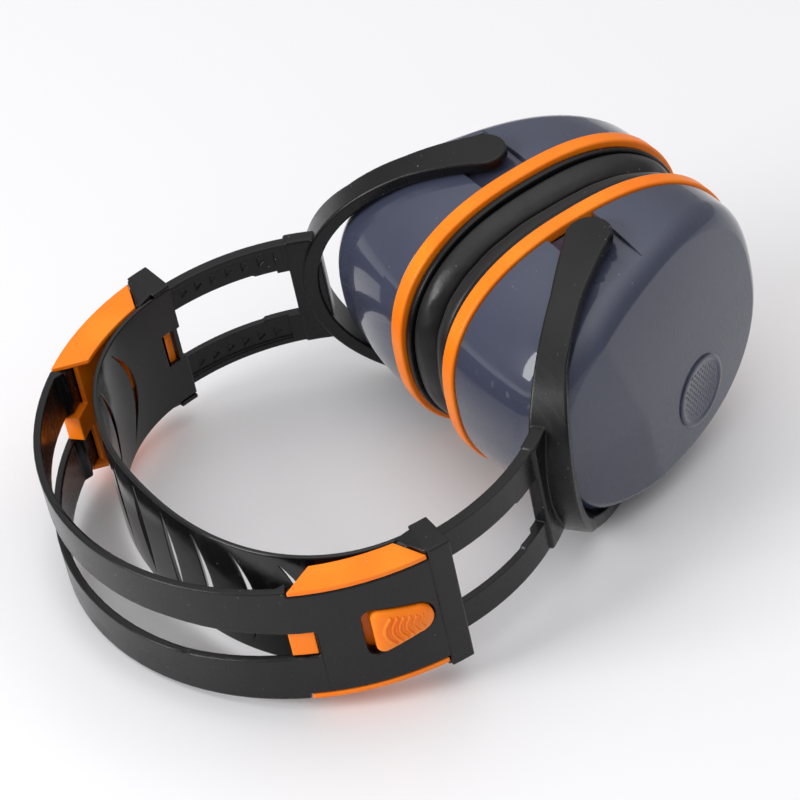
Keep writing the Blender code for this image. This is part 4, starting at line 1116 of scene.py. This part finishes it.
# %% Pockets and bores
def pocket(side, low, high):
    """A box on the pivot with round corners, which a fork's tip swings in."""
    bm = bmesh.new()
    bmesh.ops.create_cube(bm, size=1)
    bmesh.ops.scale(bm, verts=bm.verts, vec=(2 * POCKET_REACH, 2 * POCKET_HALF, abs(high - low)))
    bmesh.ops.translate(bm, verts=bm.verts, vec=(side * abs(PIVOT.x), PIVOT.y, (low + high) / 2))
    upright = [edge for edge in bm.edges if abs(edge.verts[0].co.z - edge.verts[1].co.z) > 1]
    bmesh.ops.bevel(bm, geom=upright, offset=POCKET_CORNER, segments=6, affect="EDGES", profile=0.5)
    return mesh_from(bm, "pocket")


def ear_cup(side):
    """The whole cup: bowl, hollow with a boss at each pin, pockets and bores."""
    floor = RIM_HALF_WIDTH - POCKET_DEPTH
    high = RIM_HALF_WIDTH + CUP_WALL
    bosses = [pivot_rod(side, 2.4 * PIN_RADIUS, up * (floor - 6), up * high) for up in (1, -1)]
    cuts = [combined(bowl("hollow", side, CUP_WALL, mouth=CUP_WALL), bosses, "DIFFERENCE")]
    for up in (1, -1):
        cuts.append(pocket(side, up * floor, up * high))
        cuts.append(pivot_rod(side, PIN_RADIUS + FIT, up * (floor - 8), up * high))
    return combined(bowl("cup", side, 0.0), cuts, "DIFFERENCE")


def normals_of(mesh, smooth_surface):
    """Gives what is left of the bowl the uncut bowl's normals, and the roundings beside it the same ones:
    a cut leaves long thin faces, and on them averaged normals would break up every reflection."""
    tree = surface_of(smooth_surface)
    smooth_by_angle(mesh, 38)
    corners = [corner.vector.copy() for corner in mesh.corner_normals]
    kept = {}
    for face in mesh.polygons:
        _, normal, _, distance = tree.find_nearest(face.center)
        if face.material_index == 1 or distance > 0.03 or abs(normal.dot(face.normal)) < 0.97:
            continue
        for loop, index in zip(face.loop_indices, face.vertices):
            spot = mesh.vertices[index].co
            _, _, number, _ = tree.find_nearest(spot)
            blended = Vector()
            for near in smooth_surface.polygons[number].vertices:
                gap = (smooth_surface.vertices[near].co - spot).length_squared
                blended += smooth_surface.vertex_normals[near].vector / (gap + 1e-6)
            kept[index] = corners[loop] = blended.normalized()
    for face in mesh.polygons:
        if face.material_index == 1:
            for loop, index in zip(face.loop_indices, face.vertices):
                if index in kept and kept[index].dot(face.normal) > 0.5:
                    corners[loop] = kept[index]
    mesh.normals_split_custom_set([tuple(normal) for normal in corners])
    return mesh


def finished_cup(side):
    mesh = softened(ear_cup(side), 0.35, segments=2, degrees=38)
    return normals_of(mesh, bowl("whole", side, 0.0, closed=False))


CUPS = {hand: finished_cup(side) for hand, side in SIDES.items()}
for hand, mesh in CUPS.items():
    stands_for(hand + "_cup_shell", mesh.copy())

# %% [markdown]
# ## Badge pads
# Each end face carries a low round pad where a badge can go. It is left plain: a softly raised border
# round a sunk field with a close pattern of small domes, of the kind that hides scuffs. The outline of
# pad and border is one profile spun about the pad's axis. The domes are laid out by Geometry Nodes on a
# triangular grid, because a hundred equal things are a rule and not a drawing.

# %% Domes of the pad
DOME_ROWS, DOME_COLUMNS = 18, 17


def dome_grid_tree():
    tree, given, result = geometry_tree("dome_grid", {"Field Radius": 7.6, "Pitch": 1.25, "Dome Radius": 0.42})
    pitch = given["Pitch"]
    size_x = maths(tree, "MULTIPLY", pitch, DOME_COLUMNS - 1.0)
    size_y = maths(tree, "MULTIPLY", pitch, (DOME_ROWS - 1) * math.sqrt(3) / 2)
    layout = {"Vertices X": DOME_COLUMNS, "Vertices Y": DOME_ROWS, "Size X": size_x, "Size Y": size_y}
    grid = output_of(tree, "GeometryNodeMeshGrid", layout)
    # Every other row moves half a pitch along, which makes the square grid a triangular one.
    odd = maths(tree, "MODULO", output_of(tree, "GeometryNodeInputIndex"), 2.0)
    shift = maths(tree, "MULTIPLY", maths(tree, "SUBTRACT", odd, 0.5), maths(tree, "MULTIPLY", pitch, 0.5))
    staggered = output_of(tree, "GeometryNodeSetPosition", {"Geometry": grid, "Offset": xyz(tree, shift)})
    spot = output_of(tree, "GeometryNodeInputPosition")
    reach = output_of(tree, "ShaderNodeVectorMath", {0: spot}, "Value", operation="LENGTH")
    limits = {0: reach, 1: given["Field Radius"]}
    outside = output_of(tree, "FunctionNodeCompare", limits, operation="GREATER_THAN")
    kept = output_of(tree, "GeometryNodeDeleteGeometry", {"Geometry": staggered, "Selection": outside})
    dome = output_of(tree, "GeometryNodeMeshIcoSphere", {"Radius": given["Dome Radius"], "Subdivisions": 2})
    flat = output_of(tree, "GeometryNodeTransform", {"Geometry": dome, "Scale": (1, 1, 0.3)})
    placed = output_of(tree, "GeometryNodeInstanceOnPoints", {"Points": kept, "Instance": flat})
    return close_tree(tree, given, result, placed)


DOMES = dome_grid_tree()

# %% Badge pads
BADGE_Y, BADGE_Z = 14.0, -17.5
BADGE_PROFILE = (
    (10.4, -1.2), (10.4, 0.28), (10.25, 0.43), (10.0, 0.5), (9.3, 0.5), (9.0, 0.42), (8.75, 0.2), (8.5, 0.14),
)
BADGE_SIDES = 96


def badge(hand, side):
    """A spun pad with its grid of domes, set square on the end face."""
    start = Vector((side * 90, CUP_Y + BADGE_Y, BADGE_Z))
    middle, normal, _, _ = surface_of(CUPS[hand]).ray_cast(start, Vector((-side, 0, 0)))
    turns = [2 * math.pi * i / BADGE_SIDES for i in range(BADGE_SIDES)]
    bm = bmesh.new()
    rings = lofted(bm, [[(r * math.cos(t), r * math.sin(t), height) for t in turns] for r, height in BADGE_PROFILE])
    for end in (rings[0], rings[-1]):
        bm.faces.new(end)
    bmesh.ops.recalc_face_normals(bm, faces=bm.faces)
    domes = grown(DOMES, "slate_gloss", Field_Radius=7.7, Pitch=1.45, Dome_Radius=0.42)
    domes.transform(Matrix.Translation((0, 0, BADGE_PROFILE[-1][1])))
    bm.from_mesh(domes)
    turn = normal.to_track_quat("Z", "Y").to_matrix().to_4x4()
    bmesh.ops.transform(bm, matrix=Matrix.Translation(middle) @ turn, verts=bm.verts)
    mesh = written(bm, hand + "_badge_pad")
    smooth_by_angle(mesh, 40)
    return mesh


for hand, side in SIDES.items():
    stands_for(hand + "_cup_shell", badge(hand, side), label=hand + "_badge_pad_piece")

# %% [markdown]
# ## Rim rings and cushion plates
# An orange ring is clamped between each cup and its cushion, with a black plate behind the cushion. Both
# are one section carried round the cup's oval. The tree draws the oval from its rule, and carries a
# rectangle with round corners along it. Bending a cube with modifiers would thin the section at the
# tight ends; a sweep keeps it the same all the way round.


# %% A section swept round an oval
def oval_sweep_tree():
    path_inputs = {"Half Length": 46.0, "Half Width": 37.0, "Power": CUP_POWER, "Sides": 200}
    section_inputs = {"Breadth": 4.0, "Height": 4.0, "Corner": 0.6, "Corner Facets": 4}
    tree, given, result = geometry_tree("oval_sweep", {**path_inputs, **section_inputs})
    circle = output_of(tree, "GeometryNodeCurvePrimitiveCircle", {"Resolution": given["Sides"], "Radius": 1.0})
    index = output_of(tree, "GeometryNodeInputIndex")
    share = maths(tree, "DIVIDE", maths(tree, "ADD", index, 0.5), given["Sides"])
    turn = maths(tree, "MULTIPLY", share, 2 * math.pi)
    power = maths(tree, "DIVIDE", 2.0, given["Power"])

    def coordinate(operation, half):
        wave = maths(tree, operation, turn)
        bulged = maths(tree, "POWER", maths(tree, "ABSOLUTE", wave), power)
        return maths(tree, "MULTIPLY", maths(tree, "MULTIPLY", maths(tree, "SIGN", wave), bulged), given[half])

    spot = xyz(tree, coordinate("COSINE", "Half Length"), coordinate("SINE", "Half Width"))
    path = output_of(tree, "GeometryNodeSetPosition", {"Geometry": circle, "Position": spot})
    sizes = {"Width": given["Breadth"], "Height": given["Height"]}
    section = output_of(tree, "GeometryNodeCurvePrimitiveQuadrilateral", sizes)
    rounding = {"Curve": section, "Radius": given["Corner"], "Count": given["Corner Facets"]}
    rounded = output_of(tree, "GeometryNodeFilletCurve", rounding, mode="POLY")
    swept = output_of(tree, "GeometryNodeCurveToMesh", {"Curve": path, "Profile Curve": rounded})
    return close_tree(tree, given, result, swept)


SWEEP = oval_sweep_tree()


def oval_section(hand, slot, outer_y, outer_z, breadth, low, high, corner, facets=4):
    """A swept ring whose outline reaches outer_y and outer_z, between two distances from the middle plane."""
    path = {"Half_Length": outer_y - breadth / 2, "Half_Width": outer_z - breadth / 2}
    mesh = grown(SWEEP, slot, **path, Breadth=breadth, Height=high - low, Corner=corner, Corner_Facets=facets)
    # The tree draws in its own XY: along Y and Z of the band's frame here.
    side = SIDES[hand]
    mesh.transform(Matrix(((0, 0, side, side * (low + high) / 2), (1, 0, 0, CUP_Y), (0, 1, 0, 0), (0, 0, 0, 1))))
    return faced_out(mesh)


def even_faces(mesh):
    """Lets the broad flat faces keep their own normals, so that only the narrow ones turn the corner."""
    smooth_by_angle(mesh, 50)
    return modified(mesh, "WEIGHTED_NORMAL", keep_sharp=True, weight=100)


# %% Rings and plates
RING_BREADTH, RING_CORNER = 3.4, 0.7
PLATE_LOW, PLATE_HIGH = flat_box("right_cushion_plate")
PLATE_THICKNESS, PLATE_BREADTH, PLATE_CORNER = 2.0, 19.4, 0.5
SPIGOT_INSET, SPIGOT_WALL, SPIGOT_CORNER = 2.6, 1.6, 0.3


def rim_ring(hand):
    outer_y, outer_z = RIM_HALF_LENGTH + RING_PROUD, RIM_HALF_WIDTH + RING_PROUD
    section = (RING_BREADTH, RING_LOW.x, RING_HIGH.x, RING_CORNER)
    return oval_section(hand, "orange_plastic", outer_y, outer_z, *section)


def cushion_plate(hand):
    """The flat plate, and the low wall round its back that fits inside the cup."""
    back = PLATE_LOW.x + PLATE_THICKNESS
    outer_y, outer_z = PLATE_HIGH.y - CUP_Y, PLATE_HIGH.z
    flat = (outer_y, outer_z, PLATE_BREADTH, PLATE_LOW.x, back, PLATE_CORNER)
    wall = (outer_y - SPIGOT_INSET, outer_z - SPIGOT_INSET, SPIGOT_WALL, back - 0.2, PLATE_HIGH.x, SPIGOT_CORNER, 2)
    return joined_meshes([oval_section(hand, "black_plastic", *sizes) for sizes in (flat, wall)], hand + "_plate")


for hand in SIDES:
    stands_for(hand + "_rim_ring", even_faces(rim_ring(hand)))
    stands_for(hand + "_cushion_plate", even_faces(cushion_plate(hand)))

# %% [markdown]
# ## Ear cushions
# An ear cushion is a ring of soft foam in a thin skin, glued to its plate. It has no straight lines: it is
# full in the middle, the skin puckers where it has to turn the inner corner, and where the two cushions
# rest on each other it goes flat. A modelled roll can have the fullness but looks cast in rubber, so the
# skin is simulated: cloth with a little air pressure, held where it meets the plate. It is cut one in a
# hundred too large, and that spare length lets it bulge. A taut skin has no fine creases, so these are
# evened out along the roll, and only its slow swell is left.
#
# Cloth behaves at the scale of a person, so the roll is simulated at ten times its size.

# %% A roll of skin
CUSHION_LOW, CUSHION_HIGH = flat_box("right_ear_cushion")
CUSHION_BREADTH = 18.0
CUSHION_SIDES = 220
SKIN_INSET, SKIN_CORNER, SKIN_SLACK = 0.35, 3.0, 0.25
SKIN_SCALE = 0.01


def roll_section():
    """The roll's section, as (inset from its outline, distance from the middle plane), and its held points."""
    front, back = CUSHION_LOW.x + SKIN_SLACK, CUSHION_HIGH.x
    turned = SKIN_INSET + SKIN_CORNER
    points = [(SKIN_INSET, back - (back - front - SKIN_CORNER) * i / 4) for i in range(4)]
    for i in range(7):
        c, s = polar(1, 15 * i)
        points.append((SKIN_INSET + SKIN_CORNER * (1 - c), front + SKIN_CORNER * (1 - s)))
    points += [(turned + (CUSHION_BREADTH / 2 - SKIN_INSET - SKIN_CORNER) * i / 4, front) for i in range(1, 5)]
    points += [(CUSHION_BREADTH - inset, x) for inset, x in reversed(points[:-1])]
    span = CUSHION_BREADTH - 2 * SKIN_INSET
    under = [(CUSHION_BREADTH - SKIN_INSET - span * i / 6, back) for i in range(1, 6)]
    held = [0, 1, len(points) - 2, len(points) - 1] + list(range(len(points), len(points) + len(under)))
    return points + under, held


def skin_roll():
    """The roll before it is blown up, at ten times its size, and the numbers of its held vertices."""
    section, held = roll_section()
    loops = []
    for inset, x in section:
        around = oval_points(CUSHION_HIGH.y - CUP_Y - inset, CUSHION_HIGH.z - inset, sides=CUSHION_SIDES)
        loops.append([Vector((x, y, z)) * SKIN_SCALE for y, z in around])
    bm = bmesh.new()
    lofted(bm, loops, around=True)
    return mesh_from(bm, "skin"), [CUSHION_SIDES * ring + i for ring in held for i in range(CUSHION_SIDES)]


print("the roll is", round(CUSHION_BREADTH, 2), "mm broad and", round(CUSHION_HIGH.x - CUSHION_LOW.x, 2), "mm high")

# %% Blowing the skin up
CLOTH_FRAMES = 20
MOST_MOVE = 1.1
SKIN_PRESSURE, SKIN_SPARE = 6.0, 0.01
EVENINGS = 6
CLOTH = {
    "quality": 6, "mass": 0.02, "air_damping": 3.0, "tension_stiffness": 8.0, "compression_stiffness": 8.0,
    "shear_stiffness": 2.0, "bending_stiffness": 0.05, "use_pressure": True,
    "uniform_pressure_force": SKIN_PRESSURE, "shrink_min": -SKIN_SPARE, "vertex_group_mass": "held",
}


def blown_up(mesh, held):
    """Simulates the skin as cloth with air in it, and returns the moved points in millimetres."""
    worker = linked(mesh, "skin")
    worker.vertex_groups.new(name="held").add(held, 1.0, "REPLACE")
    cloth = worker.modifiers.new("cloth", "CLOTH")
    for name, value in CLOTH.items():
        setattr(cloth.settings, name, value)
    cloth.settings.effector_weights.gravity = 0.0
    cloth.collision_settings.use_collision = False
    cloth.point_cache.frame_start, cloth.point_cache.frame_end = 1, CLOTH_FRAMES
    scene = bpy.context.scene
    for number in range(1, CLOTH_FRAMES + 1):
        scene.frame_set(number)
    moved = evaluated_mesh(worker, "blown")
    scene.frame_set(1)
    return [vertex.co / SKIN_SCALE for vertex in moved.vertices]


def capped(before, after, front):
    """Keeps each point near where it started, and behind the plane where the other cushion is."""
    spots = []
    for start, end in zip(before, after):
        step = end - start
        if step.length > MOST_MOVE:
            step = step * (MOST_MOVE / step.length)
        spot = start + step
        spot.x = min(max(spot.x, front), CUSHION_HIGH.x)
        spots.append(spot)
    return spots


def evened(spots):
    """Averages each point with its neighbours along the roll, several times over."""
    for _ in range(EVENINGS):
        after = []
        for start in range(0, len(spots), CUSHION_SIDES):
            ring = spots[start : start + CUSHION_SIDES]
            after += [(ring[i - 1] + 2 * ring[i] + ring[(i + 1) % CUSHION_SIDES]) / 4 for i in range(CUSHION_SIDES)]
        spots = after
    return spots


SKIN, HELD = skin_roll()
RESTING = [vertex.co / SKIN_SCALE for vertex in SKIN.vertices]
FULL = evened(capped(RESTING, blown_up(SKIN.copy(), HELD), CUSHION_LOW.x - 0.12))
moves = [(end - start).length for start, end in zip(RESTING, FULL)]
print("the skin moved", round(sum(moves) / len(moves), 2), "mm on average and", round(max(moves), 2), "at most")


def ear_cushion(hand):
    """The blown-up roll on its side of the middle plane, subdivided once."""
    mesh = SKIN.copy()
    for vertex, spot in zip(mesh.vertices, FULL):
        vertex.co = (SIDES[hand] * spot.x, CUP_Y + spot.y, spot.z)
    mesh = modified(faced_out(mesh), "SUBSURF", levels=1, render_levels=1)
    mesh.shade_smooth()
    return mesh


def crushed_by_tilt(piece):
    """The two cushions touch at rest. This only gives the piece a mesh of its own; nothing here yet makes it give way
    where a cup tilts one into the other.
    """
    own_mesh(piece)


for hand in SIDES:
    made = stands_for(hand + "_ear_cushion", ear_cushion(hand))
    crushed_by_tilt(made)

# %% [markdown]
# ## Foams
# Under each skin lies a ring of foam, and a thicker pad lines the cup. They are cut from open-celled
# foam, so their corners are soft and their faces wander a little. Each starts from its solid, two
# subdivisions round it off, and a slow noise moves its faces in and out.

# %% Foams
FOAM_WANDER, FOAM_NOISE_SCALE, FOAM_SEED = 0.12, 0.16, 5
seed_set(FOAM_SEED)  # unseeded, this noise starts from the clock, and no two runs are alike


def foam_body(name):
    """A foam from its solid. Its faces only ever move inwards, by up to the wander."""
    mesh = flat_mesh(name, 0)
    with editing(mesh) as bm:
        bmesh.ops.dissolve_limit(bm, angle_limit=math.radians(1), verts=bm.verts, edges=bm.edges)
        bmesh.ops.connect_verts_concave(bm, faces=bm.faces)
    mesh = modified(mesh, "SUBSURF", levels=2, render_levels=2)
    for vertex in mesh.vertices:
        sway = noise_vector(vertex.co * FOAM_NOISE_SCALE).x
        vertex.co -= vertex.normal * FOAM_WANDER * (0.5 + 0.5 * sway)
    mesh.shade_smooth()
    return mesh


for hand in SIDES:
    for name in (hand + "_cushion_foam", hand + "_liner_foam"):
        made = stands_for(name, foam_body(name))
        if name.endswith("_cushion_foam"):
            crushed_by_tilt(made)

# %% [markdown]
# ## Floor, light and camera
# The floor is a plain pale sheet. One large soft lamp and a white sky light it, because a glossy cup shows
# the lamp itself: a big bright square gives the broad clean highlight that says polished plastic.

# %% Floor
FLOOR_REACH = 6.0
FLOOR_COLOUR = (0.85, 0.845, 0.86, 1)


def pale_floor():
    made, _, shader, _ = begin_material("pale_floor")
    shader.inputs["Base Color"].default_value = FLOOR_COLOUR
    shader.inputs["Roughness"].default_value = 0.35
    mesh = bpy.data.meshes.new("floor")
    corners = [(FLOOR_REACH * x, FLOOR_REACH * y, 0) for x, y in ((-1, -1), (1, -1), (1, 1), (-1, 1))]
    mesh.from_pydata(corners, [], [(0, 1, 2, 3)])
    mesh.materials.append(made)
    linked(mesh, "floor")


pale_floor()

# %% Light
SKY_LOW, SKY_RISE, SKY_POWER, SKY_SEEN = 0.32, 1.48, 3.0, 0.85


def soft_lamp(name, at, towards, size, power):
    """A rectangular soft lamp that faces a point."""
    lamp = bpy.data.lights.new(name, "AREA")
    lamp.shape = "RECTANGLE"
    lamp.size, lamp.size_y = size
    lamp.energy = power
    made = linked(lamp, name)
    made.location = at
    made.rotation_euler = (Vector(towards) - Vector(at)).to_track_quat("-Z", "Y").to_euler()


def studio_sky():
    """A white room: brightest overhead, falling off evenly to its walls. To the camera it is pale."""
    world = bpy.data.worlds.new("studio")
    world.use_nodes = True
    tree = world.node_tree
    direction = output_of(tree, "ShaderNodeTexCoord", output="Generated")
    height = output_of(tree, "ShaderNodeSeparateXYZ", {"Vector": direction}, "Z")
    rise = maths(tree, "POWER", maths(tree, "MAXIMUM", height, 0.0), SKY_POWER)
    level = maths(tree, "ADD", SKY_LOW, maths(tree, "MULTIPLY", rise, SKY_RISE))
    seen = output_of(tree, "ShaderNodeLightPath", output="Is Camera Ray")
    strength = output_of(tree, "ShaderNodeMix", {0: seen, 2: level, 3: SKY_SEEN}, data_type="FLOAT")
    background = tree.nodes["Background"].inputs
    tree.links.new(strength, background["Strength"])
    background["Color"].default_value = (1, 1, 1, 1)
    bpy.context.scene.world = world


soft_lamp("window", at=(-0.119, -1.129, 0.54), towards=(0, 0, 0.04), size=(0.6, 0.6), power=10.5)
studio_sky()

# %% Camera
LOOK_FROM = {"azimuth": 57.836, "elevation": 38.318, "roll": -3.423, "distance": 1.1977, "view_angle": 10.0512}
LOOK_AT = Vector((0.00738, -0.00491, 0.040))


def set_camera():
    data = bpy.data.cameras.new("camera")
    data.sensor_width = 36.0
    data.lens = 18.0 / math.tan(math.radians(LOOK_FROM["view_angle"] / 2))
    data.clip_start, data.clip_end = 0.05, 50.0
    made = linked(data, "camera")
    a, e = math.radians(LOOK_FROM["azimuth"]), math.radians(LOOK_FROM["elevation"])
    back = Vector((math.sin(a) * math.cos(e), -math.cos(a) * math.cos(e), math.sin(e)))
    made.location = LOOK_AT + back * LOOK_FROM["distance"]
    level = (-back).to_track_quat("-Z", "Y").to_matrix().to_4x4()
    roll = Matrix.Rotation(math.radians(LOOK_FROM["roll"]), 4, "Z")
    made.matrix_world = Matrix.Translation(made.location) @ level @ roll
    bpy.context.scene.camera = made


set_camera()
bpy.context.scene.view_settings.view_transform = "Standard"
